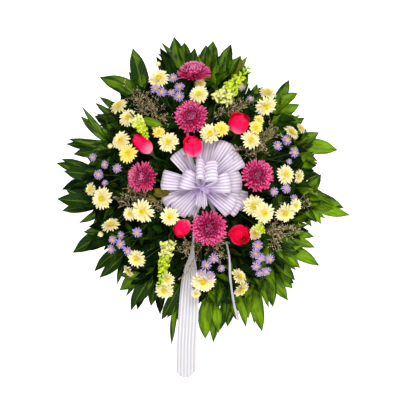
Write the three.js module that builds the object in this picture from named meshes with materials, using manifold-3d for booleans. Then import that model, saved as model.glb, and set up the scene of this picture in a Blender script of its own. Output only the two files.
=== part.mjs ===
// A hanging memorial wreath: a round plastic tray holds a domed block of floral foam, leafy branches
// stand out of the foam's side as a wide green collar, and the stems of the flowers, the filler
// sprays and the wired pick of a ribbon bow are pushed into its front.
//
// Millimetres, +X to the right as the wreath is seen, +Z up, and the front faces -Y.
// The pieces are laid out round the centre of the tray's back, where a place is given as x, z and
// its depth in front of the wall. The group then lifts that centre so that the origin is the point
// of the hanging ring that bears on a hook.
import * as THREE from "three";
import { mergeVertices } from "three/addons/utils/BufferGeometryUtils.js";
import Module from "manifold-3d";

const wasm = await Module();
wasm.setup();

// Driving dimensions.
const gap = 0.4; // clearance between two pieces that touch
const tray = { radius: 124, depth: 24, wall: 2.5, finThick: 4, finHeight: 15, holeRadius: 3.6 };
const foam = { radius: 119, sideDepth: 94, frontDepth: 110, sink: 26 };
const ring = { radius: 20, wire: 1.8, depth: 5 };
const dome = { front: 200, fall: 75, radius: 300, lean: 430 }; // the curved front that the flowers form
const ribbonThick = 1.6;
const stemRadius = { flower: 2.6, spray: 2.0, twig: 1.4, wisp: 1.1, leaf: 2.2 };

const finBase = tray.radius - 1;
const ringCentre = finBase + tray.finHeight / 2 + ring.radius;
const hookHeight = ringCentre + ring.radius - ring.wire; // the inside of the ring's top

// Points, directions and booleans.

// A point of the layout: x, z, and how far it stands in front of the wall.
const place = (x, z, depth) => new THREE.Vector3(x, -depth, z);

// The depth of the flowers' domed front at a place.
const domeDepth = (x, z) => dome.front - (dome.fall * (x * x + z * z)) / dome.radius ** 2;

// The way a flower at that place faces: forwards, and more outwards further from the centre.
const outward = (x, z) => new THREE.Vector3(x / dome.lean, -1, z / dome.lean).normalize();

// A shape's faces alone, over merged points.
function bareOf(geometry) {
  const bare = geometry.clone();
  bare.deleteAttribute("normal");
  bare.deleteAttribute("uv");
  return mergeVertices(bare, 1e-4);
}

function solidOf(geometry) {
  const merged = bareOf(geometry);
  return new wasm.Manifold(
    new wasm.Mesh({
      numProp: 3,
      vertProperties: merged.attributes.position.array,
      triVerts: new Uint32Array(merged.index.array),
    }),
  );
}

function geometryOf(solid) {
  const mesh = solid.getMesh();
  return new THREE.BufferGeometry()
    .setAttribute("position", new THREE.BufferAttribute(mesh.vertProperties, 3))
    .setIndex(new THREE.BufferAttribute(mesh.triVerts, 1));
}

const joined = (geometries) =>
  geometryOf(geometries.map(solidOf).reduce((whole, piece) => whole.add(piece)));

const cut = (geometry, tools) =>
  geometryOf(tools.map(solidOf).reduce((whole, tool) => whole.subtract(tool), solidOf(geometry)));

// Closed shapes.

// A closed skin over cross-sections of equal point count, between a first and a last point. Where
// mirrored, the two halves of each section are split alike, so that a thin shape can twist.
function skin(first, sections, last, mirrored = false) {
  const points = [first, ...sections.flat(), last];
  const count = sections[0].length;
  const end = points.length - 1;
  const at = (section, i) => 1 + section * count + (i % count);
  const faces = [];
  for (let i = 0; i < count; i++) {
    faces.push(0, at(0, i + 1), at(0, i));
    faces.push(end, at(sections.length - 1, i), at(sections.length - 1, i + 1));
    for (let s = 0; s + 1 < sections.length; s++) {
      if (mirrored && 2 * i >= count) {
        faces.push(at(s, i), at(s, i + 1), at(s + 1, i), at(s, i + 1), at(s + 1, i + 1), at(s + 1, i));
      } else {
        faces.push(at(s, i), at(s, i + 1), at(s + 1, i + 1), at(s, i), at(s + 1, i + 1), at(s + 1, i));
      }
    }
  }
  const geometry = new THREE.BufferGeometry().setFromPoints(points).setIndex(faces);
  return solidOf(geometry).volume() < 0 ? turnedOut(geometry) : geometry;
}

// A shape turned round an axis square to the wall, from an outline of [reach, depth] places.
function turned(outline, sides) {
  const points = outline.map(([reach, depth]) => new THREE.Vector2(reach, depth));
  const shape = bareOf(new THREE.LatheGeometry(points, sides).rotateZ(Math.PI));
  return solidOf(shape).volume() < 0 ? turnedOut(shape) : shape;
}

// The same shape with its faces the other way round.
function turnedOut(geometry) {
  const faces = geometry.index.array;
  for (let i = 0; i < faces.length; i += 3) {
    [faces[i], faces[i + 1]] = [faces[i + 1], faces[i]];
  }
  return geometry;
}

// A rod of a few flat sides along a curve through the points.
function rod(points, radius, sides = 4, steps = 2 * points.length - 2) {
  const section = new THREE.Shape(
    Array.from({ length: sides }, (_, i) => {
      const angle = ((i + 0.5) / sides) * 2 * Math.PI;
      return new THREE.Vector2(radius * Math.cos(angle), radius * Math.sin(angle));
    }),
  );
  const path =
    points.length === 2 ? new THREE.LineCurve3(...points) : new THREE.CatmullRomCurve3(points, false, "centripetal");
  return new THREE.ExtrudeGeometry(section, {
    steps: points.length === 2 ? 1 : steps,
    extrudePath: path,
    bevelEnabled: false,
  });
}

// Turns a shape made round its own +Z so that it faces that way at a point.
function facing(geometry, at, towards) {
  const turn = new THREE.Quaternion().setFromUnitVectors(new THREE.Vector3(0, 0, 1), towards);
  return geometry.applyMatrix4(new THREE.Matrix4().compose(at, turn, new THREE.Vector3(1, 1, 1)));
}

// A ring of points, drawn in between the petals by the share notch.
function petalRing(petals, radius, height, notch, turn = 0) {
  return Array.from({ length: petals * 2 }, (_, i) => {
    const angle = ((i + turn) / petals) * Math.PI;
    const reach = radius * (i % 2 ? 1 - notch : 1);
    return new THREE.Vector3(reach * Math.cos(angle), reach * Math.sin(angle), height);
  });
}

// A leaf blade from its base to its tip: it swells forwards along its length, and is thickest at its
// middle rib.
function blade(base, tip, width, swell) {
  const ribThick = 2.2;
  const along = tip.clone().sub(base);
  const across = new THREE.Vector3(along.z, 0, -along.x).normalize();
  const section = (share, fullness) => {
    const middle = base.clone().addScaledVector(along, share);
    middle.y -= swell * Math.sin(Math.PI * share);
    const half = (width / 2) * fullness;
    return [
      middle.clone().addScaledVector(across, half),
      middle.clone().addScaledVector(across, -half),
      middle.clone().add(new THREE.Vector3(0, -ribThick, 0)),
    ];
  };
  return skin(base, [section(0.28, 0.9), section(0.64, 0.82)], tip);
}

// Stems.

// Where a stem goes into the foam's front, for a flower at x, z.
function frontEntry(x, z, share = 0.4) {
  const reach = Math.hypot(x, z);
  const entry = Math.min(share * reach, 96);
  const cos = x / (reach || 1);
  const sin = z / (reach || 1);
  const rise = foam.frontDepth - foam.sideDepth;
  const depth = foam.frontDepth - rise * (entry / foam.radius) ** 2;
  return { mouth: place(entry * cos, entry * sin, depth), inner: place(0.86 * entry * cos, 0.86 * entry * sin, depth - foam.sink) };
}

const sockets = []; // rods a little thicker than each stem, cut out of the foam at the end

// A stem's stretch in the foam, and the socket that it leaves there.
function planted(entry, radius, sides = 3) {
  const beyond = entry.inner.clone().lerp(entry.mouth, -0.06);
  const before = entry.mouth.clone().lerp(entry.inner, -0.35);
  sockets.push(rod([beyond, before], radius + gap * 1.5, sides));
  return rod([entry.inner, before], radius, sides);
}

// The outer end of a stem's planted stretch.
const collarOf = (entry) => entry.mouth.clone().lerp(entry.inner, -0.3);

// A stem from the foam to a head: straight in the foam, then bending to come up behind the head.
function stemTo(entry, head, radius, sides = 4) {
  const collar = collarOf(entry);
  const seat = head.at.clone().addScaledVector(head.towards, -head.seat);
  const neck = head.at.clone().addScaledVector(head.towards, -head.seat - head.neck);
  return [planted(entry, radius, sides), rod([collar, neck, seat], radius, sides, 3)];
}

// A branching stem: a main stem from the foam to its end, and twigs that leave its outer half one
// after another, each to its own seat.
function branching(entry, end, seats, radius, twig) {
  const collar = collarOf(entry);
  const twigs = seats.map((seat, i) => {
    const share = seats.length === 1 ? 0.97 : 0.55 + (0.42 * i) / (seats.length - 1);
    return rod([collar.clone().lerp(end, share), seat], twig, 3);
  });
  return [planted(entry, radius), rod([collar, end], radius, 3), ...twigs];
}

// Flower heads, each made round +Z with its face at the origin, then turned to face its own way.

// A many-petalled chrysanthemum head: a deep cushion of pointed petals.
function cushionHead({ at, towards, radius }) {
  const petals = 10;
  const head = skin(
    new THREE.Vector3(0, 0, -0.4 * radius),
    [
      petalRing(petals, radius, -0.1 * radius, 0.13),
      petalRing(petals, 0.93 * radius, 0.17 * radius, 0.13, 1),
      petalRing(petals, 0.55 * radius, 0.4 * radius, 0.16),
    ],
    new THREE.Vector3(0, 0, 0.42 * radius),
  );
  return facing(head, at, towards);
}

// A half-open rose: a goblet of wrapped petals over five sepals.
function roseHead({ at, towards, radius, height }) {
  const profile = [
    [0.7, 0.14],
    [1, 0.52],
    [0.84, 0.9],
    [0.56, 1],
  ];
  const goblet = skin(
    new THREE.Vector3(0, 0, -height),
    profile.map(([reach, rise], i) => petalRing(5, reach * radius, (rise - 1) * height, 0.06, i % 2)),
    new THREE.Vector3(0, 0, -0.2 * height),
  );
  const sepals = skin(
    new THREE.Vector3(0, 0, -height - 7),
    [petalRing(5, 0.62 * radius, -0.92 * height, 0.62)],
    new THREE.Vector3(0, 0, -0.9 * height),
  );
  return facing(joined([goblet, sepals]), at, towards);
}

// A daisy-like bloom: a low cone of petals with its eye in the middle and a small cup behind.
function daisyHead({ at, towards, radius, petals, notch, cup }) {
  const head = skin(
    new THREE.Vector3(0, 0, -cup),
    [petalRing(petals, radius, 0.5, notch)],
    new THREE.Vector3(0, 0, 0.2 * radius),
  );
  return facing(head, at, towards);
}

// A closed bud.
function budHead({ at, towards, radius }) {
  const head = skin(
    new THREE.Vector3(0, 0, -radius * 1.1),
    [petalRing(3, radius, -0.3 * radius, 0), petalRing(3, 0.8 * radius, 0.5 * radius, 0)],
    new THREE.Vector3(0, 0, 0.9 * radius),
  );
  return facing(head, at, towards);
}

// A spindle between two points, for a floret, a plume or a bud.
function spindle(from, to, radius, fullest = 0.6, sides = 4) {
  const axis = to.clone().sub(from);
  const length = axis.length();
  const belt = (share, fullness) =>
    Array.from({ length: sides }, (_, i) => {
      const angle = (i / sides) * 2 * Math.PI;
      return new THREE.Vector3(radius * fullness * Math.cos(angle), radius * fullness * Math.sin(angle), share * length);
    });
  const shape = skin(
    new THREE.Vector3(0, 0, 0),
    [belt(fullest, 1)],
    new THREE.Vector3(0, 0, length),
  );
  return facing(shape, from, axis.normalize());
}

const vector = (x, y, z) => new THREE.Vector3(x, y, z).normalize();

// The holder.

// A shallow round dish lying against the wall, with a drilled fin on its rim for the ring.
function foamTray() {
  const { radius, depth, wall } = tray;
  const outline = [
    [0, 0],
    [radius - 3, 0],
    [radius, depth],
    [radius - wall, depth],
    [radius - wall, 5],
    [radius - wall - 3, wall],
    [0, wall],
  ];
  const fin = new THREE.BoxGeometry(tray.finThick, depth - 6, tray.finHeight + 4);
  fin.translate(0, -(depth - 6) / 2, finBase + tray.finHeight / 2 - 1);
  const holeHeight = ringCentre - ring.radius;
  const hole = rod([place(-6, holeHeight, ring.depth), place(6, holeHeight, ring.depth)], tray.holeRadius, 8);
  return cut(joined([turned(outline, 20), fin]), [hole]);
}

// The steel ring through the fin, lying flat against the wall.
function hangingRing() {
  const hoop = new THREE.TorusGeometry(ring.radius, ring.wire, 6, 16);
  return hoop.rotateX(Math.PI / 2).translate(0, -ring.depth, ringCentre);
}

// The domed foam block in the tray, with a socket for every stem and for the bow's pick.
function foamBlock() {
  const reach = tray.radius - tray.wall - gap - 1;
  const outline = [
    [0, tray.wall + gap],
    [reach - 5, tray.wall + gap + 1],
    [reach - 3, tray.depth + 3],
    [foam.radius - 5, foam.sideDepth - 14],
    [foam.radius - 24, foam.sideDepth + 4],
    [0.5 * foam.radius, foam.frontDepth - 4],
    [0, foam.frontDepth],
  ];
  return cut(turned(outline, 16), sockets);
}

// The arrangement. A head stands at [x, z], at the dome's depth plus its lift; looks is the
// direction it faces where that isn't simply outward.

const headAt = ({ at: [x, z], lift = 0, looks, ...rest }) => ({
  at: place(x, z, domeDepth(x, z) + lift),
  towards: looks ? vector(...looks) : outward(x, z),
  ...rest,
});

const chrysanthemums = {
  mum_top: { at: [-18, 292], radius: 42, lift: 6, looks: [-0.05, -0.72, 0.66] },
  mum_upper: { at: [-27, 176], radius: 44, lift: 12, looks: [-0.08, -0.95, 0.25] },
  mum_left: { at: [-148, 26], radius: 41, lift: 8, looks: [-0.4, -0.9, 0.1] },
  mum_right: { at: [137, 30], radius: 43, lift: 20, looks: [0.2, -0.97, 0.08] },
  mum_lower: { at: [17, -99], radius: 47, lift: 34, looks: [0, -0.98, -0.14] },
};

const roses = {
  rose_left: { at: [-166, 127], radius: 23, height: 56, lift: 20, looks: [-0.62, -0.5, 0.6] },
  rose_upper_right: { at: [101, 172], radius: 27, height: 56, lift: 24, looks: [0.3, -0.78, 0.5] },
  rose_bow: { at: [-22, 113], radius: 26, height: 56, lift: 30, looks: [-0.04, -0.74, 0.66] },
  rose_lower_left: { at: [-57, -110], radius: 21, height: 54, lift: 16, looks: [-0.46, -0.72, -0.5] },
  rose_lower_right: { at: [97, -121], radius: 28, height: 52, lift: 26, looks: [0.16, -0.97, -0.16] },
};

// Cream spray chrysanthemums, as the blooms and buds of each cut stem: [x, z, diameter, lift, looks].
const creamSprays = {
  cream_spray_top_left: [[-107, 272, 50, 6], [-109, 309, 18, 0]],
  cream_spray_top: [[-8, 231, 47, 11], [-4, 259, 28, -14]],
  cream_spray_left_outer: [[-207, 203, 44, 0, [-0.45, -0.62, 0.64]], [-184, 174, 44, 2], [-201, 117, 46, 0], [-183, 85, 46, 14], [-228, 104, 18, 0]],
  cream_spray_left_inner: [[-84, 113, 50, -4], [-107, 138, 30, 0], [-118, 150, 20, -10]],
  cream_spray_bow: [[20, 134, 50, 4], [48, 146, 36, 18]],
  cream_spray_right_upper: [[121, 119, 46, -4], [133, 150, 34, 10], [141, 168, 26, -2], [158, 202, 52, 0, [0.3, -0.8, -0.52]], [163, 236, 42, 6, [0.25, -0.62, 0.74]]],
  cream_spray_right: [[207, 34, 46, 0], [240, 28, 34, 4, [0.75, -0.62, -0.1]], [222, 138, 40, 4, [0.62, -0.5, 0.6]], [246, 148, 28, 6, [0.75, -0.5, 0.45]]],
  cream_spray_left: [[-248, -26, 54, 0], [-277, -3, 32, -14, [-0.7, -0.7, 0.1]], [-226, -92, 44, -6, [-0.25, -0.62, 0.74]], [-252, -115, 20, -8]],
  cream_spray_left_lower: [[-147, -58, 56, 4], [-179, -64, 34, -12], [-79, -71, 46, 16]],
  cream_spray_foot_left: [[-162, -175, 46, 2], [-183, -206, 32, -2, [-0.75, -0.35, -0.56]], [-94, -254, 46, -8], [-87, -227, 38, 0]],
  cream_spray_foot: [[3, -231, 58, 0], [-15, -263, 24, -8]],
  cream_spray_foot_right: [[92, -219, 42, 4, [0.62, -0.62, 0.48]], [97, -252, 44, -4, [0.62, -0.45, -0.64]]],
  cream_spray_right_lower: [[127, -44, 52, 2], [153, -62, 52, 18], [131, -112, 34, -16], [206, -62, 50, -2, [0.35, -0.8, -0.48]], [232, -44, 32, 12]],
};

// Lavender asters: [x, z, diameter, lift].
const asterSprays = {
  aster_spray_top: [[-72, 273, 24, 6], [-115, 246, 25, 16], [-99, 237, 25, 22], [-56, 250, 25, 12], [-57, 226, 26, 20], [-76, 236, 20, 6]],
  aster_spray_top_right: [[97, 250, 20, 8], [121, 222, 16, -8]],
  aster_spray_left: [[-271, 76, 20, 0], [-241, 58, 20, 4], [-256, 33, 26, 8], [-210, 48, 23, 6], [-241, 12, 16, -10]],
  aster_spray_left_lower: [[-222, -128, 22, 6], [-201, -139, 25, 12], [-226, -152, 22, 0], [-184, -156, 22, 14], [-201, -117, 18, 0], [-160, -110, 25, 2]],
  aster_spray_right_upper: [[210, 119, 25, 4], [187, 104, 23, 8], [228, 88, 25, 6], [216, 65, 15, 0]],
  aster_spray_right: [[178, -9, 21, 2], [208, -2, 24, 4], [228, -26, 19, -6]],
  aster_spray_foot: [[11, -190, 25, 14], [29, -174, 25, 8], [-2, -210, 22, 22], [19, -217, 25, 16], [48, -199, 18, 4]],
  aster_spray_right_lower: [[137, -142, 25, 6], [132, -162, 24, 2], [144, -174, 24, 12], [167, -176, 24, 6], [134, -193, 24, 8], [142, -212, 18, -2], [158, -207, 24, 6]],
};

// Snapdragon spikes, from the lowest floret to the tip of the buds.
const snapdragons = {
  snapdragon_top_right: { from: [40, 208], to: [116, 300], lift: 4, tipLift: 6 },
  snapdragon_left: { from: [-150, 160], to: [-178, 178], lift: 10, tipLift: 34, floret: 17 },
  snapdragon_foot_left: { from: [-82, -128], to: [-106, -246], lift: -6, tipLift: 30 },
  snapdragon_right: { from: [136, -94], to: [152, -108], lift: 2, tipLift: 44, floret: 17 },
};

// Sea lavender: wiry twigs from a fork near the first place to each of the others.
const seaLavender = {
  sea_lavender_upper_left: [[-120, 170], [-182, 246], [-160, 222], [-138, 236], [-118, 214], [-150, 195], [-100, 178]],
  sea_lavender_upper_right: [[60, 150], [48, 186], [72, 206], [92, 202], [112, 214]],
  sea_lavender_right: [[130, 90], [170, 152], [158, 122], [180, 132], [150, 92], [84, 96]],
  sea_lavender_lower_left: [[-118, -36], [-182, -20], [-198, -42], [-168, -8], [-108, -46]],
  sea_lavender_foot: [[10, -130], [-42, -142], [-52, -160], [-38, -214], [48, -136], [52, -170]],
  sea_lavender_right_lower: [[150, -128], [196, -104], [214, -96], [240, -110], [186, -138], [262, -8]],
};

// Leafy branches, each as shoots: where the shoot ends, and its leaves as [tip x, tip z, width,
// share of the way along the shoot that the leaf grows from].
const leafyBranches = {
  branch_top: {
    level: 0,
    shoots: [
      [[-45, 290], [[-70, 382, 36, 1], [-103, 366, 17, 0.8], [-115, 341, 14, 0.66], [-82, 339, 18, 0.9], [-18, 352, 30, 0.8]]],
      [[22, 290], [[28, 370, 32, 0.95], [-8, 338, 26, 0.7], [52, 338, 26, 0.8]]],
    ],
  },
  branch_top_right: {
    level: 1,
    shoots: [
      [[50, 265], [[73, 361, 34, 0.95], [97, 331, 28, 0.85], [36, 322, 26, 0.7], [114, 331, 17, 0.95], [126, 290, 14, 1]]],
      [[110, 210], [[139, 262, 18, 0.95], [147, 246, 14, 1], [84, 268, 24, 0.6]]],
    ],
  },
  branch_right_upper: {
    level: 2,
    shoots: [
      [[180, 195], [[218, 271, 28, 0.95], [240, 238, 27, 1], [244, 209, 28, 0.85]]],
      [[190, 140], [[257, 176, 24, 1], [246, 184, 14, 0.9], [214, 196, 20, 0.7], [236, 120, 26, 0.8]]],
    ],
  },
  branch_right: {
    level: 0,
    shoots: [
      [[235, 105], [[341, 95, 36, 1], [315, 104, 34, 0.9], [294, 140, 32, 0.8]]],
      [[225, 45], [[291, 63, 26, 0.95], [281, 45, 18, 0.9], [299, 17, 15, 1], [262, 84, 20, 0.8]]],
    ],
  },
  branch_right_middle: {
    level: 1,
    shoots: [
      [[265, -22], [[374, -68, 27, 0.9], [339, -67, 15, 1], [331, -72, 13, 0.9], [310, -76, 17, 0.84], [299, -91, 25, 0.76], [276, -98, 22, 0.66], [318, -38, 16, 0.95]]],
    ],
  },
  branch_right_lower: {
    level: 2,
    shoots: [
      [[206, -107], [[281, -122, 22, 0.95], [283, -149, 24, 1], [238, -70, 24, 0.6], [262, -140, 24, 0.84]]],
      [[185, -150], [[294, -195, 31, 0.95], [246, -200, 30, 0.85], [236, -206, 16, 1], [204, -214, 26, 0.76]]],
    ],
  },
  branch_foot_right: {
    level: 0,
    shoots: [
      [[175, -195], [[232, -240, 21, 1], [216, -283, 32, 0.85], [192, -264, 20, 0.9]]],
      [[135, -230], [[168, -303, 13, 1], [151, -361, 32, 0.9], [131, -341, 28, 0.8], [172, -262, 26, 0.9]]],
    ],
  },
  branch_foot: {
    level: 1,
    shoots: [
      [[75, -255], [[110, -349, 22, 0.95], [86, -331, 22, 1], [64, -348, 30, 0.9], [46, -356, 24, 0.8]]],
      [[20, -270], [[28, -388, 26, 0.9], [42, -364, 22, 1], [-2, -344, 24, 0.8], [8, -320, 22, 0.95]]],
    ],
  },
  branch_foot_left: {
    level: 2,
    shoots: [
      [[-55, -270], [[-76, -392, 15, 1], [-101, -330, 24, 0.8], [-88, -325, 16, 0.9], [-52, -346, 26, 0.95]]],
      [[-130, -210], [[-178, -308, 24, 1], [-172, -292, 34, 0.85], [-191, -273, 15, 0.8], [-128, -296, 26, 0.9]]],
    ],
  },
  branch_left_lower: {
    level: 0,
    shoots: [
      [[-180, -150], [[-213, -243, 16, 0.95], [-258, -226, 28, 0.9], [-271, -210, 28, 1], [-252, -178, 20, 0.85]]],
      [[-215, -100], [[-325, -163, 39, 0.9], [-298, -110, 25, 1], [-280, -136, 22, 0.8]]],
    ],
  },
  branch_left: {
    level: 1,
    shoots: [
      [[-250, -35], [[-309, -88, 19, 0.8], [-351, -57, 28, 0.95], [-338, -37, 15, 1], [-364, -27, 37, 0.9], [-262, -92, 26, 0.6], [-296, -24, 26, 0.8]]],
      [[-262, 38], [[-366, 63, 25, 0.95], [-353, 73, 22, 1], [-331, 18, 17, 0.9], [-318, 44, 24, 0.85]]],
    ],
  },
  branch_left_upper: {
    level: 2,
    shoots: [
      [[-225, 110], [[-341, 110, 26, 0.85], [-335, 123, 20, 0.95], [-283, 150, 17, 0.9], [-304, 180, 22, 1], [-301, 205, 14, 0.95], [-296, 92, 24, 0.75]]],
      [[-190, 170], [[-268, 214, 17, 0.9], [-257, 228, 20, 1], [-265, 186, 16, 0.8], [-236, 200, 24, 0.9], [-206, 224, 26, 0.8]]],
      [[-140, 225], [[-257, 277, 41, 0.9], [-173, 350, 40, 1], [-183, 291, 26, 0.85]]],
    ],
  },
};

// Bow loops from the knot: direction in degrees, reach, width at the loop's end, how far it opens,
// its lean towards the viewer in degrees, the depth of its root, and its roll in degrees about its
// own direction.
const bowLoops = [
  [62, 128, 56, 26, 0, 140], [43, 126, 54, 26, 4, 147], [3, 98, 52, 34, 4, 150], [-27, 112, 44, 26, -4, 141],
  [-52, 96, 42, 22, -3, 144], [-103, 62, 34, 20, -4, 143], [-137, 84, 40, 24, -2, 140], [-168, 112, 24, 20, 4, 141],
  [174, 104, 50, 34, 4, 150], [141, 104, 48, 26, 2, 143], [168, 62, 44, 34, 30, 158], [22, 66, 40, 34, 34, 160],
  [97, 76, 50, 20, 52, 164, 90], [58, 76, 50, 26, 50, 164, 90], [-90, 62, 28, 20, 36, 160],
];
const knot = [0, 5];

// Ribbon tails, as stations down the ribbon: [x, z, depth, twist in degrees from facing the
// viewer, width].
const ribbonTails = {
  ribbon_tail_left: [
    [-7, -7.4, 127, 20, 12], [-13, -50, 118, 55, 18], [-20, -110, 116, 75, 22], [-24, -160, 112, 72, 26], [-29, -200, 103, 38, 38],
    [-35, -250, 97, 8, 47], [-41, -320, 92, 0, 50], [-46, -400, 82, 0, 50], [-46, -474, 70, 0, 50],
  ],
  ribbon_tail_right: [
    [7, -7.4, 127, -20, 12], [27, -50, 120, -60, 16], [50, -102, 126, -75, 22], [64, -145, 140, -78, 24], [71, -185, 156, -80, 26],
    [70, -228, 146, -74, 28], [76, -280, 118, -68, 30], [88, -331, 95, -70, 28],
  ],
};

// The pieces.

const flowerOn = (head, shape, share) => {
  const radius = stemRadius.flower;
  const { x, z } = head.at;
  return joined([shape(head), ...stemTo(frontEntry(x, z, share), head, radius, 4)]);
};

const mum = (spec) => flowerOn(headAt({ ...spec, seat: 0.3 * spec.radius, neck: 26 }), cushionHead, 0.42);

const rose = (spec) => flowerOn(headAt({ ...spec, seat: spec.height + 4, neck: 16 }), roseHead, 0.46);

const middleOf = (points) =>
  points.reduce((sum, point) => sum.add(point), new THREE.Vector3()).multiplyScalar(1 / points.length);

// A cut stem that branches to several blooms; a bloom under 22 across in a cream spray is a bud.
function spray(blooms, { petals, notch, cup, seat, neck, budUnder, stem, twig, share, forkAt }) {
  const heads = blooms.map(([x, z, diameter, lift, looks]) =>
    headAt({ at: [x, z], lift, looks, radius: diameter / 2, petals, notch, cup, seat }),
  );
  const middle = middleOf(heads.map((head) => head.at.clone().addScaledVector(head.towards, -seat - neck)));
  const entry = frontEntry(middle.x, middle.z, share);
  const fork = collarOf(entry).lerp(middle, forkAt);
  const seats = heads.map((head) => head.at.clone().addScaledVector(head.towards, -seat));
  const shapes = heads.map((head) => (2 * head.radius < budUnder ? budHead(head) : daisyHead(head)));
  return joined([...branching(entry, fork, seats, stem, twig), ...shapes]);
}

const creamSpray = (blooms) =>
  spray(blooms, { petals: 7, notch: 0.24, cup: 8, seat: 1, neck: 16, budUnder: 22, stem: stemRadius.spray, twig: stemRadius.twig, share: 0.66, forkAt: 0.55 });

const asterSpray = (blooms) =>
  spray(blooms, { petals: 4, notch: 0.12, cup: 4, seat: 0, neck: 14, budUnder: 0, stem: stemRadius.twig, twig: stemRadius.wisp, share: 0.5, forkAt: 0.62 });

// A snapdragon: a stem that carries florets in a spiral, wide below and closing to buds at the tip.
function snapdragon({ from, to, lift, tipLift, floret = 27 }) {
  const foot = place(...from, domeDepth(...from) + lift);
  const tip = place(...to, domeDepth(...to) + tipLift);
  const spine = tip.clone().sub(foot);
  const axis = spine.clone().normalize();
  const side = vector(0, -1, 0).cross(axis).normalize();
  const front = axis.clone().cross(side);
  const florets = [];
  const count = 10;
  for (let i = 0; i < count; i++) {
    const share = i / (count - 1);
    const root = foot.clone().addScaledVector(spine, share * 0.96);
    const angle = i * 2.4;
    const splay = side.clone().multiplyScalar(Math.cos(angle)).addScaledVector(front, Math.sin(angle));
    const length = floret * (1 - 0.6 * share);
    const mouth = root.clone().addScaledVector(splay, length * 0.85).addScaledVector(axis, length * 0.5);
    florets.push(spindle(root, mouth, 9 - 5 * share, 0.66));
  }
  const entry = frontEntry(...from, 0.58);
  const below = foot.clone().addScaledVector(axis, -14);
  const stem = rod([collarOf(entry), below, foot], stemRadius.spray, 3, 3);
  const spike = rod([foot, tip], stemRadius.spray, 3);
  return joined([planted(entry, stemRadius.spray), stem, spike, ...florets]);
}

// Sea lavender: wiry twigs, each ending in a loose plume of small buds.
function lavenderTwigs([[forkX, forkZ], ...ends]) {
  const entry = frontEntry(forkX, forkZ, 0.58);
  const fork = place(forkX, forkZ, 0.3 * domeDepth(forkX, forkZ) + 0.7 * foam.frontDepth);
  const tips = ends.map(([x, z]) => place(x, z, domeDepth(x, z) - 14));
  const collar = collarOf(entry);
  const plumes = tips.map((tip, i) => {
    const root = collar.clone().lerp(fork, 0.6 + (0.38 * i) / (tips.length - 1));
    return spindle(root, tip, 5, 0.74, 4);
  });
  return joined([planted(entry, stemRadius.twig), rod([collar, fork], stemRadius.twig, 3), ...plumes]);
}

// How deep the leaves of a branch lie: three layers, each a little further forward outwards.
const leafDepth = (level, x, z) => 34 + 18 * level + 0.05 * (Math.hypot(x, z) - foam.radius);

const lowLeaf = { width: 44, reach: 0.84, splay: 0.31 }; // the broad leaf at the foot of each shoot

function leafyBranch({ level, shoots }) {
  const middle = middleOf(shoots.map(([[x, z]]) => new THREE.Vector3(x, 0, z))).normalize();
  const on = (reach) => place(reach * middle.x, reach * middle.z, leafDepth(level, reach * middle.x, reach * middle.z));
  const entry = { mouth: on(foam.radius - 2), inner: on(foam.radius - 32) };
  const fork = on(foam.radius + 14);
  const grown = shoots.flatMap(([[endX, endZ], leaves], shoot) => {
    const end = place(endX, endZ, leafDepth(level, endX, endZ));
    const blades = leaves.map(([x, z, width, share], i) => {
      const lap = 4 * ((i % 3) - 1);
      return blade(fork.clone().lerp(end, Math.min(share, 0.96)), place(x, z, leafDepth(level, x, z) + lap), width, 4 + 0.5 * lap);
    });
    const splay = shoot % 2 ? -lowLeaf.splay : lowLeaf.splay;
    const reach = end.clone().sub(fork).applyAxisAngle(new THREE.Vector3(0, 1, 0), splay);
    const lowTip = fork.clone().addScaledVector(reach, lowLeaf.reach);
    const low = blade(fork.clone().lerp(end, 0.05), lowTip, lowLeaf.width, 4);
    return [rod([fork, end], stemRadius.leaf, 3), ...blades, low];
  });
  return joined([planted(entry, stemRadius.leaf), rod([collarOf(entry), on(foam.radius + 16)], stemRadius.leaf, 3), ...grown]);
}

// A ribbon strip through stations, each a point, the direction across the ribbon and its width.
function strip(stations) {
  const sections = stations.map(({ at, across, width, normal }) => [
    at.clone().addScaledVector(across, width / 2),
    at.clone().addScaledVector(normal, ribbonThick / 2),
    at.clone().addScaledVector(across, -width / 2),
    at.clone().addScaledVector(normal, -ribbonThick / 2),
  ]);
  const first = stations[0].at.clone().lerp(stations[1].at, -0.02);
  const last = stations.at(-1).at.clone().lerp(stations.at(-2).at, -0.02);
  return skin(first, sections, last, true);
}

function bowLoop([direction, reach, width, opening, lean, root, roll = 0]) {
  const turn = THREE.MathUtils.degToRad(direction);
  const tilt = THREE.MathUtils.degToRad(lean);
  const out = vector(Math.cos(turn) * Math.cos(tilt), -Math.sin(tilt), Math.sin(turn) * Math.cos(tilt));
  const across = vector(-Math.sin(turn), 0, Math.cos(turn)).applyAxisAngle(out, THREE.MathUtils.degToRad(roll));
  const up = out.clone().cross(across).normalize();
  const base = place(knot[0], knot[1], root);
  const stations = [0.02, 0.24, 0.5, 0.76, 0.98].map((share) => {
    const swing = Math.sin(Math.PI * share);
    const at = base.clone().addScaledVector(out, reach * swing).addScaledVector(up, (opening / 2) * Math.sin(2 * Math.PI * share));
    const heading = out.clone().multiplyScalar(reach * Math.cos(Math.PI * share)).addScaledVector(up, opening * Math.cos(2 * Math.PI * share)).normalize();
    return { at, across, normal: heading.cross(across).normalize(), width: width * (0.22 + 0.78 * swing ** 1.2) };
  });
  return strip(stations);
}

const pick = { radius: 2.4, from: 74, to: 150 };

// The bow: every loop of the one ribbon, drawn in to a knot with a socket for the pick.
function ribbonBow() {
  const core = rod([place(...knot, 124), place(...knot, 168)], 12, 8);
  const socket = rod([place(...knot, 120), place(...knot, pick.to + gap)], pick.radius + gap, 8);
  return cut(joined([core, ...bowLoops.map(bowLoop)]), [socket]);
}

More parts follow.
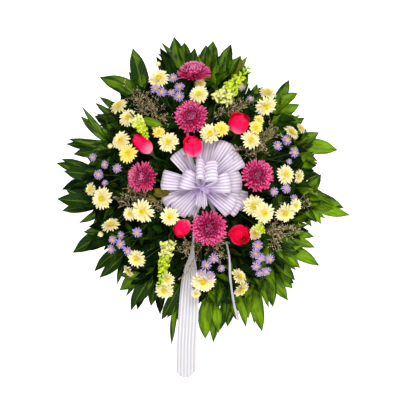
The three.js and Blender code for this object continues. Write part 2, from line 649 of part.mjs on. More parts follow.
function bowPick() {
  const outline = [[0, pick.from], [pick.radius, pick.from + 10], [pick.radius, pick.to], [0, pick.to]];
  sockets.push(rod([place(...knot, pick.from - 1), place(...knot, foam.frontDepth + 4)], pick.radius + gap, 8));
  return turned(outline, 8).translate(knot[0], 0, knot[1]);
}

function ribbonTail(stations) {
  const fine = 3 * (stations.length - 1);
  const path = new THREE.CatmullRomCurve3(stations.map(([x, z, depth]) => place(x, z, depth)));
  const finish = new THREE.CatmullRomCurve3(stations.map(([, , , twist, width]) => new THREE.Vector3(twist, width, 0)));
  return strip(
    Array.from({ length: fine + 1 }, (_, i) => {
      const { x: twist, y: width } = finish.getPoint(i / fine);
      const turn = THREE.MathUtils.degToRad(twist);
      const across = vector(Math.cos(turn), -Math.sin(turn), 0);
      return { at: path.getPoint(i / fine), across, normal: vector(Math.sin(turn), Math.cos(turn), 0), width };
    }),
  );
}

// The materials and the finished group.

const material = (color, roughness, metalness = 0) => new THREE.MeshStandardMaterial({ color, roughness, metalness });
const materials = {
  tray: material(0x1f4a2c, 0.45),
  foam: material(0x3f6b3a, 0.95),
  steel: material(0xb8bcc0, 0.3, 1),
  wood: material(0xc9a777, 0.7),
  ribbon: material(0xd9d0ec, 0.6),
  mum: material(0xa02a68, 0.65),
  rose: material(0xf21452, 0.5),
  cream: material(0xf3ebb4, 0.6),
  aster: material(0x9a7fc4, 0.6),
  snapdragon: material(0xc8d84a, 0.6),
  seaLavender: material(0x8f7f6c, 0.8),
  leaf: material(0x2d6a1c, 0.4),
};

const wreath = new THREE.Group();
wreath.name = "memorial_wreath";
wreath.position.set(0, ring.depth, -hookHeight);

function add(name, geometry, finish) {
  const mesh = new THREE.Mesh(geometry, finish);
  mesh.name = name;
  wreath.add(mesh);
}

const addEach = (pieces, make, finish) => {
  for (const [name, spec] of Object.entries(pieces)) add(name, make(spec), finish);
};

addEach(chrysanthemums, mum, materials.mum);
addEach(roses, rose, materials.rose);
addEach(creamSprays, creamSpray, materials.cream);
addEach(asterSprays, asterSpray, materials.aster);
addEach(snapdragons, snapdragon, materials.snapdragon);
addEach(seaLavender, lavenderTwigs, materials.seaLavender);
addEach(leafyBranches, leafyBranch, materials.leaf);
add("ribbon_bow", ribbonBow(), materials.ribbon);
add("bow_pick", bowPick(), materials.wood);
addEach(ribbonTails, ribbonTail, materials.ribbon);
add("foam_tray", foamTray(), materials.tray);
add("foam_block", foamBlock(), materials.foam);
add("hanging_ring", hangingRing(), materials.steel);

const part = new THREE.Group();
part.add(wreath);

export default part;
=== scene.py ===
# A hanging memorial wreath of fresh flowers with a striped ribbon bow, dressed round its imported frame.
import math

import bpy
import numpy as np
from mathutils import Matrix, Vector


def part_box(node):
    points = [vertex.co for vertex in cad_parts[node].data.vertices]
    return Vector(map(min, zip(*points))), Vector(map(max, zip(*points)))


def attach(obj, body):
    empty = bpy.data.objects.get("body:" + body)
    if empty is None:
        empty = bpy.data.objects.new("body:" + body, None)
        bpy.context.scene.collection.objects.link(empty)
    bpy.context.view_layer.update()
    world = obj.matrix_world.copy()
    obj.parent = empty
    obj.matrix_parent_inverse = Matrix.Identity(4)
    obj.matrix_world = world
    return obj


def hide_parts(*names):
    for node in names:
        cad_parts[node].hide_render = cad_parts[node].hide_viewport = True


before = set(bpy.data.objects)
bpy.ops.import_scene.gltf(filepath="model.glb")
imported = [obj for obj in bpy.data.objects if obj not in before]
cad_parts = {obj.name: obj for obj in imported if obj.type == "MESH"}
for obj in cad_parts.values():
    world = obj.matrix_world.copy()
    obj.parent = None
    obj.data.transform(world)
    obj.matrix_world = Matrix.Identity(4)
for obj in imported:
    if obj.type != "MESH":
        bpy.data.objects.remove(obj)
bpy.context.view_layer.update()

mm = 0.001
chance = np.random.default_rng(11)

# The layout of the CAD model: millimetres round the centre of the tray's back, where a place is
# given as x, z and its depth in front of the wall.
foam = {"radius": 119, "sideDepth": 94, "frontDepth": 110, "sink": 26}
dome = {"front": 200, "fall": 75, "radius": 300, "lean": 430}
trayLow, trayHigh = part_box("foam_tray")
trayRadius = (trayHigh.x - trayLow.x) / 2
centre = np.array([(trayHigh.x + trayLow.x) / 2, trayHigh.y, trayLow.z + trayRadius])


def place(x, z, depth):
    return np.array([x, -depth, z], float)


def unit(vector):
    vector = np.asarray(vector, float)
    return vector / np.maximum(np.linalg.norm(vector, axis=-1, keepdims=True), 1e-9)


def domeDepth(x, z):
    return dome["front"] - dome["fall"] * (x * x + z * z) / dome["radius"] ** 2


def outward(x, z):
    return unit([x / dome["lean"], -1, z / dome["lean"]])


def lerp(a, b, share):
    return a + (b - a) * share


# A turn that takes +Z to the way given; its rows are the turned axes.
def basis(towards, spin=0.0):
    towards = unit(towards)
    up = np.array([0, 0, 1.0]) if abs(towards[2]) < 0.95 else np.array([0, 1.0, 0])
    side = unit(np.cross(up, towards))
    over = np.cross(towards, side)
    return np.array([
        side * math.cos(spin) + over * math.sin(spin),
        over * math.cos(spin) - side * math.sin(spin),
        towards,
    ])


# A smooth curve through points of any dimension.
def smooth(points, count):
    points = np.asarray(points, float)
    knots = np.vstack([2 * points[0] - points[1], points, 2 * points[-1] - points[-2]])
    spot = np.linspace(0, len(points) - 1, count)
    first = np.minimum(spot.astype(int), len(points) - 2)
    u = (spot - first)[:, None]
    a, b, c, d = (knots[first + i] for i in range(4))
    second, third = 2 * a - 5 * b + 4 * c - d, 3 * b - a - 3 * c + d
    return 0.5 * (2 * b + (c - a) * u + second * u**2 + third * u**3)


noteNames = ("along", "across", "tone")  # written on every mesh for the materials


# The mesh of one piece, gathered from grids of points.
class Pile:
    def __init__(self):
        self.points, self.faces, self.names, self.notes = [], [], [], []
        self.total = 0

    # points is (grids, rows, columns, 3); along and across are 0 to 1 and -1 to 1 if not given.
    def add(self, points, finish, tone=0.5, closed=False, along=None, across=None):
        points = np.asarray(points, float)
        if points.ndim == 3:
            points = points[None]
        count, rows, columns = points.shape[:3]
        index = self.total + np.arange(count * rows * columns).reshape(count, rows, columns)
        if closed:
            index = np.concatenate([index, index[:, :, :1]], 2)
        above, below = index[:, :-1], index[:, 1:]
        quads = np.stack([above[:, :, :-1], above[:, :, 1:], below[:, :, 1:], below[:, :, :-1]], -1)
        quads = quads.reshape(-1, 4)
        if along is None:
            along = np.linspace(0, 1, rows)[None, :, None]
        if across is None:
            across = np.linspace(-1, 1, columns)[None, None, :]
        tone = np.asarray(tone, float).reshape(-1, 1, 1)
        notes = [np.broadcast_to(note, (count, rows, columns)) for note in (along, across, tone)]
        self.points.append(points.reshape(-1, 3))
        self.faces.append(quads)
        self.names.append([finish, len(quads)])
        self.notes.append(np.stack(notes, -1).reshape(-1, 3))
        self.total += count * rows * columns

    # Writes the mesh, in metres and in the frame's own axes.
    def make(self, node, slot):
        name = node + "_dressed"
        points = np.concatenate(self.points) * mm + centre
        faces = np.concatenate(self.faces)
        notes = np.concatenate(self.notes)
        mesh = bpy.data.meshes.new(name)
        mesh.from_pydata(points.tolist(), [], faces.tolist())
        used = sorted({finish for finish, _ in self.names})
        for finish in used:
            mesh.materials.append(finishes[finish])
        slots = np.concatenate([np.full(count, used.index(finish)) for finish, count in self.names])
        mesh.polygons.foreach_set("material_index", slots.astype(np.int32))
        mesh.polygons.foreach_set("use_smooth", np.ones(len(faces), bool))
        for i, note in enumerate(noteNames):
            written = mesh.attributes.new(note, "FLOAT", "POINT")
            written.data.foreach_set("value", notes[:, i].astype(np.float32))
        mesh.update()
        piece = bpy.data.objects.new(name, mesh)
        bpy.context.scene.collection.objects.link(piece)
        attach(piece, "root")
        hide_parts(node)
        return piece


# A tube along a path, with a radius at each of its points.
def tube(pile, path, radius, finish, sides=6):
    path = np.asarray(path, float)
    heading = unit(np.gradient(path, axis=0))
    reference = np.array([0, 1.0, 0]) if abs(heading[0][1]) < 0.9 else np.array([1.0, 0, 0])
    side = np.empty_like(path)
    side[0] = unit(np.cross(heading[0], reference))
    for i in range(1, len(path)):
        side[i] = unit(side[i - 1] - heading[i] * (side[i - 1] @ heading[i]))
    over = np.cross(heading, side)
    angle = np.arange(sides) / sides * 2 * np.pi
    radius = np.broadcast_to(radius, len(path))[:, None, None]
    ring = side[:, None] * np.cos(angle)[:, None] + over[:, None] * np.sin(angle)[:, None]
    pile.add(path[:, None] + ring * radius, finish, closed=True)


# A batch of petals, each an arched strip from the origin along +X: rise is its slope at the base,
# curl the slope that it gains by the tip, cup how far its sides bend up and sway how far it bends
# sideways.
def petals(length, width, outline, rise, curl, cup, rows=6, columns=4, sway=0.0):
    given = [np.atleast_1d(value).astype(float) for value in (length, width, rise, curl, cup)]
    count = max(map(len, given))
    length, width, rise, curl, cup = (np.broadcast_to(value, count)[:, None] for value in given)
    share = np.linspace(0, 1, rows)
    slope = rise + curl * share**1.5
    middle = (slope[:, 1:] + slope[:, :-1]) / 2
    start = np.zeros((count, 1))
    reach = np.hstack([start, np.cumsum(np.cos(middle), 1)]) * length / (rows - 1)
    height = np.hstack([start, np.cumsum(np.sin(middle), 1)]) * length / (rows - 1)
    half = width / 2 * np.interp(share, *outline)
    bend = cup[:, :, None] * np.linspace(-1, 1, columns)
    sideways = half[:, :, None] * np.sin(bend) / cup[:, :, None]
    sideways = sideways + (np.atleast_1d(sway)[:, None] * length * share**2)[:, :, None]
    lift = half[:, :, None] * (1 - np.cos(bend)) / cup[:, :, None]
    return np.stack([
        reach[:, :, None] - np.sin(slope)[:, :, None] * lift,
        sideways,
        height[:, :, None] + np.cos(slope)[:, :, None] * lift,
    ], -1)


# Stands a batch round an axis: at an angle, a radius and a height each.
def around(points, angle, radius, height):
    spots = (np.broadcast_to(value, len(points))[:, None, None] for value in (angle, radius, height))
    angle, radius, height = spots
    x = points[..., 0] + radius
    return np.stack([
        x * np.cos(angle) - points[..., 1] * np.sin(angle),
        x * np.sin(angle) + points[..., 1] * np.cos(angle),
        points[..., 2] + height,
    ], -1)


# Small closed spindles from each start, along each way; fullest is where each is widest.
def spindles(pile, starts, ways, length, radius, finish, tone, sides=5, fullest=0.5):
    starts, ways = np.asarray(starts, float), unit(ways)
    length, radius = (np.broadcast_to(value, len(starts))[:, None, None, None] for value in (length, radius))
    helper = np.where(np.abs(ways[:, 2:3]) < 0.9, [[0, 0, 1.0]], [[1.0, 0, 0]])
    side = unit(np.cross(ways, helper))
    over = np.cross(ways, side)
    angle = np.arange(sides) / sides * 2 * np.pi
    ring = side[:, None] * np.cos(angle)[:, None] + over[:, None] * np.sin(angle)[:, None]
    shares = np.array([0, 0.18, fullest, 0.85, 1])[:, None, None]
    girth = np.array([0.12, 0.72, 1, 0.6, 0.04])[:, None, None]
    points = starts[:, None, None] + ways[:, None, None] * shares * length + ring[:, None] * girth * radius
    pile.add(points, finish, tone, closed=True)


# The outline of every leaf: how round it is towards base and tip, the share of its length that
# draws out to a point, and half the width of its stalk.
leafOutline = {"base": 0.66, "tip": 0.74, "point": 0.2, "sharp": 0.4, "stalk": 0.6, "ripple": 0.05}


# A batch of leaf blades from base to tip. front is the way that the upper side looks, fold how far
# the two halves close, bend how far the leaf swings sideways, arch how far it bows forwards.
def leaves(pile, base, tip, width, front, finish, tone, fold, bend, arch, twist, rows, columns):
    base, tip, front = (np.asarray(value, float).reshape(-1, 3) for value in (base, tip, front))
    count = len(base)
    given = (width, fold, bend, arch, twist)
    width, fold, bend, arch, twist = (np.broadcast_to(value, count)[:, None] for value in given)
    line = tip - base
    length = np.linalg.norm(line, axis=1, keepdims=True)
    heading = line / length
    up = unit(front - heading * np.sum(front * heading, 1, keepdims=True))
    side = np.cross(heading, up)
    share = np.linspace(0, 1, rows)
    body = share ** leafOutline["base"] * (1 - share) ** leafOutline["tip"]
    body = body * np.minimum((1 - share) / leafOutline["point"], 1) ** leafOutline["sharp"]
    half = width / 2 * body / body.max()
    half[:, 0] += leafOutline["stalk"]
    turn = twist * (share - 0.3)
    bow = np.sin(np.pi * share)
    middle = base[:, None] + line[:, None] * share[:, None]
    middle = middle + side[:, None] * (bend * length * bow)[:, :, None]
    middle = middle + up[:, None] * (arch * length * bow)[:, :, None]
    wide = side[:, None] * np.cos(turn)[:, :, None] + up[:, None] * np.sin(turn)[:, :, None]
    tall = up[:, None] * np.cos(turn)[:, :, None] - side[:, None] * np.sin(turn)[:, :, None]
    across = np.linspace(-1, 1, columns)
    waves = np.sin(share * 9 + np.arange(count)[:, None] * 1.7)[:, :, None]
    ripple = leafOutline["ripple"] * waves * across * np.abs(across)
    lift = np.abs(across) * np.sin(fold)[:, :, None] + ripple
    level = across * np.cos(fold)[:, :, None]
    blade = wide[:, :, None] * level[..., None] + tall[:, :, None] * lift[..., None]
    pile.add(middle[:, :, None] + half[:, :, None, None] * blade, finish, tone)


def spread(low, high, count=None):
    return chance.uniform(low, high, count)


# How the leaves of one kind differ from one another, in the order that leaves() takes it.
def wayward(kind, count):
    bend, twist = kind["bend"], kind["twist"]
    return (
        spread(*kind["fold"], count), spread(-bend, bend, count),
        spread(*kind["arch"], count), spread(-twist, twist, count), *kind["grid"],
    )


# Ways towards the viewer, each turned a little sideways and up or down.
def facing(sideways, low, high, count):
    return np.stack([spread(-sideways, sideways, count), -np.ones(count), spread(low, high, count)], -1)


# A value from a pair: what it starts with and what it gains as share goes from 0 to 1.
def grow(pair, share):
    return pair[0] + pair[1] * share


# One socket of a material's nodes, with arithmetic.
class Wire:
    def __init__(self, tree, socket=None):
        self.tree, self.socket = tree, socket

    def node(self, kind, settings, values, output=0):
        made = self.tree.nodes.new(kind)
        for key, value in settings.items():
            setattr(made, key, value)
        for key, value in values.items():
            if isinstance(value, Wire):
                self.tree.links.new(value.socket, made.inputs[key])
            else:
                made.inputs[key].default_value = value
        return Wire(self.tree, made.outputs[output] if made.outputs else None)

    def maths(self, operation, *values):
        return self.node("ShaderNodeMath", {"operation": operation}, dict(enumerate(values)))

    def __add__(self, other):
        return self.maths("ADD", self, other)

    def __sub__(self, other):
        return self.maths("SUBTRACT", self, other)

    def __mul__(self, other):
        return self.maths("MULTIPLY", self, other)

    def __pow__(self, other):
        return self.maths("POWER", self, other)

    def __radd__(self, other):
        return self.maths("ADD", other, self)

    def __rsub__(self, other):
        return self.maths("SUBTRACT", other, self)

    def __rmul__(self, other):
        return self.maths("MULTIPLY", other, self)

    def sine(self):
        return self.maths("SINE", self)

    def size(self):
        return self.maths("ABSOLUTE", self)

    # 0 below low and 1 above high, with a smooth step between; low may be the larger.
    def step(self, low, high):
        values = {"Value": self, "From Min": low, "From Max": high}
        return self.node("ShaderNodeMapRange", {"interpolation_type": "SMOOTHSTEP"}, values)

    # A mixed colour, of which this wire is the share of b.
    def mix(self, a, b):
        values = {0: self, 6: colour(a), 7: colour(b)}
        return self.node("ShaderNodeMix", {"data_type": "RGBA", "clamp_factor": True}, values, 2)

    def vector(self, x, y, z):
        return self.node("ShaderNodeCombineXYZ", {}, {0: x, 1: y, 2: z})

    def noise(self, vector, scale, detail=2.0, roughness=0.5):
        values = {"Vector": vector, "Scale": scale, "Detail": detail, "Roughness": roughness}
        return self.node("ShaderNodeTexNoise", {}, values)

    def bump(self, height, strength, distance):
        values = {"Height": height, "Strength": strength, "Distance": distance}
        return self.node("ShaderNodeBump", {}, values)


def colour(value):
    return value if isinstance(value, Wire) else (*value, 1.0)


# What a material reads: the notes written on the mesh, and the place of a point in metres.
class Notes:
    def __init__(self, tree):
        self.wire = Wire(tree)
        self.along, self.across, self.tone = (
            self.wire.node("ShaderNodeAttribute", {"attribute_name": name}, {}, 2) for name in noteNames
        )
        self.spot = self.wire.node("ShaderNodeTexCoord", {}, {}, 3)


finishes = {}


# A material from a function that turns the notes into its surface's inputs.
def addFinish(name, dress):
    made = bpy.data.materials.new(name)
    made.use_nodes = True
    tree = made.node_tree
    tree.nodes.clear()
    inputs = dress(Notes(tree))
    surface = Wire(tree).node("ShaderNodeBsdfPrincipled", {}, inputs)
    Wire(tree).node("ShaderNodeOutputMaterial", {}, {"Surface": surface})
    finishes[name] = made


# Petals: a colour at the base, one over most of the length and one at the tip, with fine streaks.
def petalFinish(name, base, body, tip, deep, baseEnd=0.35, tipStart=0.7, rough=0.6, shine=0.25):
    def dress(notes):
        wire = notes.wire
        fibres = wire.noise(wire.vector(notes.along * 2, notes.across * 5, notes.tone * 40), 1.6)
        cloud = wire.noise(notes.spot, 60)
        tint = notes.along.step(0, baseEnd).mix(base, body)
        tint = notes.along.step(tipStart, 1).mix(tint, tip)
        tint = ((notes.tone - 0.45) * 0.55 + (cloud - 0.5) * 0.5 + (fibres - 0.5) * 0.5).mix(tint, deep)
        edge = notes.across.size().step(0.6, 1.05) * 0.25
        tint = edge.mix(tint, tip)
        return {
            "Base Color": tint,
            "Roughness": rough + (fibres - 0.5) * 0.2,
            "Specular IOR Level": shine,
            "Normal": wire.bump(fibres, 0.35, 0.0006),
        }

    addFinish(name, dress)


# Leaves: light and dark patches, partly the leaf's own mottling and partly painted highlights and shade, painted
# shade at the edges and tips, a midrib and faint side veins.
def leafFinish(name, deep, bright, vein, rough=0.45, shine=0.09):
    def dress(notes):
        wire = notes.wire
        blotch = wire.noise(notes.spot, 28, 3.0)
        grain = wire.noise(wire.vector(notes.along * 3, notes.across * 9, notes.tone * 30), 2.4)
        patch = wire.noise(wire.vector(notes.along * 1.7, notes.across * 0.8, notes.tone * 50), 1.6)
        patch = patch.step(0.42, 0.62)
        # Painted shade: darker towards the edges and the tip.
        shade = notes.across.size().step(0.5, 1.0) * 0.3 + notes.along.step(0.72, 1.0) * 0.25
        # The light of a leaf: its tone, which also carries each branch's painted light and shade, and patches that
        # are partly its own mottling and partly painted highlights and shade.
        light = notes.tone * 0.85 + (patch - 0.4) * 0.42 + (blotch - 0.5) * 0.9 + (grain - 0.5) * 0.35
        tint = (light - shade).mix(deep, bright)
        rib = notes.across.size().step(0.14, 0.02)
        side = ((notes.along * 62 - notes.across.size() * 16).sine() * 0.5 + 0.5) ** 4
        tint = (rib * 0.2 + side * 0.05).mix(tint, vein)
        return {
            "Base Color": tint,
            "Roughness": rough + (blotch - 0.5) * 0.25,
            "Specular IOR Level": shine,
            "Normal": wire.bump(side * 0.35 - rib + grain * 0.6, 0.45, 0.0009),
        }

    addFinish(name, dress)


def stemFinish(name, low, high):
    def dress(notes):
        streak = notes.wire.noise(notes.spot, 90, 3.0)
        return {
            "Base Color": streak.mix(low, high),
            "Specular IOR Level": 0.3,
            "Roughness": 0.5 + (streak - 0.5) * 0.2,
            "Normal": notes.wire.bump(streak, 0.4, 0.0006),
        }

    addFinish(name, dress)


# Woven ribbon with stripes along it, a faint painted glow in its own colour that lifts its shadows, and a painted
# shade of deeper violet in its folds and at the knot; across is in millimetres from the ribbon's middle.
def ribbonFinish(name, ground, stripe, fold, period):
    def dress(notes):
        wire = notes.wire
        wave = (notes.across * (2 * math.pi / period)).sine()
        bands = wave.step(-0.25, 0.35)
        sheer = wire.noise(wire.vector(notes.along * 0.3, notes.across * 0.06, 0), 1.0, 3.0)
        weave = (notes.across * 9).sine() * (notes.along * 9).sine()
        tint = (bands * 0.85 + (sheer - 0.5) * 0.3).mix(ground, stripe)
        # Painted shade: where tone marks a point deep in a fold or near the knot, the fold colour, a deeper violet,
        # is mixed in.
        tint = (notes.tone * 0.9).mix(tint, fold)
        return {
            "Base Color": tint,
            # Painted glow: the ribbon gives off a little light in its own colour, which lifts its shadows.
            "Emission Color": tint,
            "Emission Strength": 0.12,
            "Roughness": 0.42 + bands * 0.16,
            "Specular IOR Level": 0.35,
            "Normal": wire.bump(bands * 0.5 + weave * 0.12 + sheer * 0.6, 0.35, 0.0006),
        }

    addFinish(name, dress)


# The colours of petals at base, body and tip, and where they are deepest; then where the base's
# colour ends, where the tip's begins, the roughness and the shine.
petalTints = {
    "mum": [(0.17, 0.0, 0.045), (0.62, 0.006, 0.16), (1.0, 0.34, 0.60), (0.40, 0.001, 0.08), 0.5, 0.76],
    "mumRim": [(0.20, 0.001, 0.04), (0.66, 0.008, 0.15), (0.88, 0.14, 0.36), (0.42, 0.002, 0.09), 0.45, 0.7],
    "mumHeart": [(0.05, 0.0, 0.012), (0.26, 0.001, 0.055), (0.66, 0.09, 0.26), (0.12, 0.0, 0.022), 0.6, 0.75],
    "rose": [(0.85, 0.0, 0.03), (1.0, 0.0, 0.03), (1.0, 0.015, 0.10), (0.66, 0.0, 0.008), 0.3, 0.82, 0.5, 0.08],
    "roseOuter": [
        (0.98, 0.30, 0.44), (1.0, 0.004, 0.09), (1.0, 0.004, 0.06), (0.92, 0.0, 0.03), 0.66, 0.8, 0.5, 0.08,
    ],
    "cream": [(0.84, 0.64, 0.02), (0.82, 0.74, 0.36), (0.90, 0.85, 0.64), (0.68, 0.54, 0.16), 0.74, 0.76],
    "butter": [(0.85, 0.56, 0.02), (0.92, 0.72, 0.12), (0.95, 0.82, 0.32), (0.78, 0.48, 0.03), 0.5, 0.7],
    "yellow": [(0.62, 0.46, 0.01), (0.90, 0.72, 0.02), (0.95, 0.84, 0.10), (0.60, 0.50, 0.01), 0.4, 0.7],
    "eye": [(0.40, 0.34, 0.01), (0.62, 0.55, 0.015), (0.78, 0.68, 0.03), (0.42, 0.40, 0.01)],
    "aster": [(0.60, 0.46, 0.70), (0.42, 0.29, 0.64), (0.62, 0.50, 0.78), (0.22, 0.11, 0.44), 0.35, 0.7],
    "asterEye": [(0.45, 0.25, 0.06), (0.78, 0.48, 0.10), (0.88, 0.66, 0.24), (0.50, 0.24, 0.06)],
    "snap": [(0.42, 0.50, 0.03), (0.46, 0.58, 0.01), (0.68, 0.78, 0.08), (0.22, 0.38, 0.004), 0.3, 0.6],
    "snapPale": [(0.44, 0.48, 0.04), (0.70, 0.72, 0.20), (0.86, 0.87, 0.42), (0.38, 0.44, 0.03), 0.35, 0.65],
    "snapBud": [(0.14, 0.28, 0.004), (0.36, 0.52, 0.006), (0.52, 0.66, 0.02), (0.14, 0.30, 0.004), 0.3, 0.6],
    "lavenderBud": [(0.40, 0.30, 0.13), (0.66, 0.52, 0.31), (0.80, 0.68, 0.50), (0.24, 0.165, 0.09), 0.3, 0.5],
}
for name, tints in petalTints.items():
    petalFinish(name, *tints)
leafFinish("leaf", (0.004, 0.024, 0.0), (0.155, 0.30, 0.0), (0.26, 0.42, 0.01))
# The next is a near-black copy of the leaf finish: painted shade, for leaves deep between the flowers and behind
# them.
leafFinish("darkLeaf", (0.0006, 0.004, 0.0), (0.014, 0.052, 0.0), (0.022, 0.07, 0.001), 0.5, 0.04)
leafFinish("olive", (0.09, 0.08, 0.008), (0.26, 0.24, 0.02), (0.34, 0.34, 0.06))
stemFinish("stem", (0.004, 0.018, 0.001), (0.024, 0.07, 0.002))
stemFinish("wiry", (0.13, 0.09, 0.035), (0.46, 0.35, 0.18))
stripePeriod = 8.2
# Each ribbon finish is given its ground, its stripe, and its fold colour, which paints the shade in the folds.
ribbonFinish("ribbon", (0.605, 0.56, 0.60), (0.40, 0.31, 0.48), (0.36, 0.18, 0.54), stripePeriod)
# The tails' copy of the ribbon finish is greyer and less violet: painted light, for the greyer, dimmer light on the
# hanging tails.
ribbonFinish("tailRibbon", (0.57, 0.56, 0.555), (0.38, 0.36, 0.415), (0.38, 0.29, 0.48), stripePeriod)
print("finishes made")


golden = math.pi * (3 - math.sqrt(5))

# Stems: how far out they enter the foam, how much they turn in inside it, how far their collar
# stands in front of it, and how many small leaves a single one has.
stems = {"farthest": 96, "turnIn": 0.86, "collar": 0.3, "radius": 2.6, "leafy": 11}


# Where a stem goes into the foam's front, for a flower at x, z: its mouth and its inner end.
def frontEntry(x, z, share):
    reach = math.hypot(x, z)
    entry = min(share * reach, stems["farthest"])
    across, up = (x / reach, z / reach) if reach else (0, 0)
    depth = foam["frontDepth"] - (foam["frontDepth"] - foam["sideDepth"]) * (entry / foam["radius"]) ** 2
    inner = stems["turnIn"] * entry
    return place(entry * across, entry * up, depth), place(inner * across, inner * up, depth - foam["sink"])


def collarOf(entry):
    return lerp(entry[0], entry[1], -stems["collar"])


def headAt(spec):
    x, z = spec["at"]
    towards = unit(spec["looks"]) if spec.get("looks") else outward(x, z)
    return {**spec, "point": place(x, z, domeDepth(x, z) + spec["lift"]), "towards": towards}


def behind(head, distance):
    return head["point"] - head["towards"] * distance


def onHead(points, head, spin=0.0):
    return head["point"] + points @ basis(head["towards"], spin)


# No leaf comes in front of the depth "back" within "reach" of the bow's knot, or in the strip
# where the long tail hangs, and elsewhere none comes nearer than "under" to the dome's surface.
knot = [0, 5]
clearings = {
    "under": 30,
    "bow": {"reach": 140, "back": 112},
    "tail": {"middle": -30, "half": 44, "top": -120, "back": 62},
}


# Moves the points that would hide the flowers, the bow or the long tail back, in place.
def keepBack(points):
    x, y, z = points.T
    bow, tail = clearings["bow"], clearings["tail"]
    limit = domeDepth(x, z) - clearings["under"]
    near = np.hypot(x - knot[0], z - knot[1]) < bow["reach"]
    limit = np.where(near, np.minimum(limit, bow["back"]), limit)
    hanging = (np.abs(x - tail["middle"]) < tail["half"]) & (z < tail["top"])
    limit = np.where(hanging, np.minimum(limit, tail["back"]), limit)
    points[:, 1] = np.maximum(y, -limit)


# Near-black leaves along a stem, which close the gaps between the flowers and paint the shade there.
greenery = {
    "along": (0.3, 0.86), "length": (42, 76), "short": (24, 44), "width": (0.3, 0.42), "tone": (0.05, 0.75),
    "fold": (0.2, 0.5), "bend": 0.12, "arch": (0.02, 0.16), "twist": 0.4, "grid": (8, 5),
}


def greens(pile, path, count, length=greenery["length"]):
    at = spread(*greenery["along"], count)
    spots = smooth(path, 41)[(at * 40).astype(int)]
    angle = spread(0, 2 * np.pi, count)
    ways = unit(np.stack([np.cos(angle), spread(-0.35, 0.25, count), np.sin(angle)], -1))
    long = spread(*length, count)
    tips = spots + ways * long[:, None]
    keepBack(spots)
    keepBack(tips)
    front = facing(0.5, -0.3, 0.6, count)
    wide, tones = long * spread(*greenery["width"], count), spread(*greenery["tone"], count)
    leaves(pile, spots, tips, wide, front, "darkLeaf", tones, *wayward(greenery, count))


def stemTo(pile, entry, head, seat, neck):
    path = [entry[1], entry[0], collarOf(entry), behind(head, seat + neck), behind(head, seat)]
    tube(pile, smooth(path, 18), stems["radius"], "stem")
    greens(pile, path[2:], stems["leafy"])


# A swelling green cup behind a bloom.
def cup(pile, head, depth, wide, narrow=1.6):
    shares = np.linspace(0, 1, 5)
    path = [behind(head, depth * (1 - share)) for share in shares]
    tube(pile, path, narrow + (wide - narrow) * np.sin(shares * np.pi / 2), "stem", 8)


# Chrysanthemums: strap petals, short and curled in at the heart, long and flat at the rim. Lengths
# are shares of the bloom's radius, and a pair is the heart's value and what is gained by the rim.
mumPetals = {
    "count": 320, "length": (0.42, 0.46), "width": (0.08, 0.06), "rise": (84, -90), "curl": (66, -34),
    "cup": 1.2, "sway": 0.09, "ring": 0.12, "height": (0.02, -0.17),
    "wild": {"length": 0.04, "rise": 7, "curl": 16, "cup": 0.2},
    "outline": ([0, 0.3, 0.65, 0.88, 1], [0.5, 0.8, 1, 0.98, 0.6]),
    "zones": [["mumHeart", 0, 0.24], ["mum", 0.24, 0.72], ["mumRim", 0.72, 1]],
    "entry": 0.42, "seat": 0.3, "neck": 26, "calyx": (0.34, 0.3),
}


def mum(name, spec):
    pile = Pile()
    head, radius, shape = headAt(spec), spec["radius"], mumPetals
    stemTo(pile, frontEntry(*spec["at"], shape["entry"]), head, shape["seat"] * radius, shape["neck"])
    cup(pile, head, shape["calyx"][0] * radius, shape["calyx"][1] * radius)
    count, wild = shape["count"], shape["wild"]
    share = (np.arange(count) + 0.5) / count
    chances = spread(-1, 1, (4, count))
    batch = petals(
        radius * grow(shape["length"], share**0.7) * (1 + wild["length"] * chances[0]),
        radius * grow(shape["width"], share),
        shape["outline"],
        np.radians(grow(shape["rise"], share**0.8) + wild["rise"] * chances[1]),
        np.radians(grow(shape["curl"], share) + wild["curl"] * chances[2]),
        shape["cup"] + wild["cup"] * chances[3],
        7, 4, spread(-shape["sway"], shape["sway"], count),
    )
    angle = np.arange(count) * golden
    batch = around(batch, angle, radius * shape["ring"] * share, radius * grow(shape["height"], share))
    tones = spread(0, 1, count)
    for finish, low, high in shape["zones"]:
        part = (share >= low) & (share < high)
        pile.add(onHead(batch[part], head), finish, tones[part])
    if spec.get("stray"):  # one petal that has come loose and hangs
        x, z, length = spec["stray"]
        hung = petals(length, 7, shape["outline"], 0.0, -0.5, 0.9)
        ways = np.array([unit([0.05, -0.25, -1]), unit([1, 0, 0.05]), unit([0, -1, 0.25])])
        pile.add(place(x, z, domeDepth(x, z) + spec["lift"] - 4) + hung @ ways, "mum", 0.35)
    pile.make(name, "mum_petals")


# Roses: petals wrapped round one another, each a sheet from the calyx to a rolled rim. A pair is
# the innermost petal's value and what the outermost gains; lengths are shares of the radius.
rosePetals = {
    "count": 15, "rows": 12, "columns": 13, "outerFrom": 0.72, "entry": 0.46, "neck": 16,
    "wrap": (1.9, -0.85), "size": (0.16, 0.80), "bulge": (0.35, 0.65), "closing": (0.5, -0.42),
    "crown": (1.0, -0.16), "roll": (0.04, 0.16), "rollFrom": 0.82, "closeFrom": 0.6,
    "profile": ([0, 0.14, 0.36, 0.56, 0.8, 1], [0.2, 0.62, 0.93, 1.0, 0.96, 0.9]),
    "sepals": {"count": 5, "length": 0.4, "width": 8, "outline": ([0, 0.3, 1], [0.8, 1, 0.05])},
}


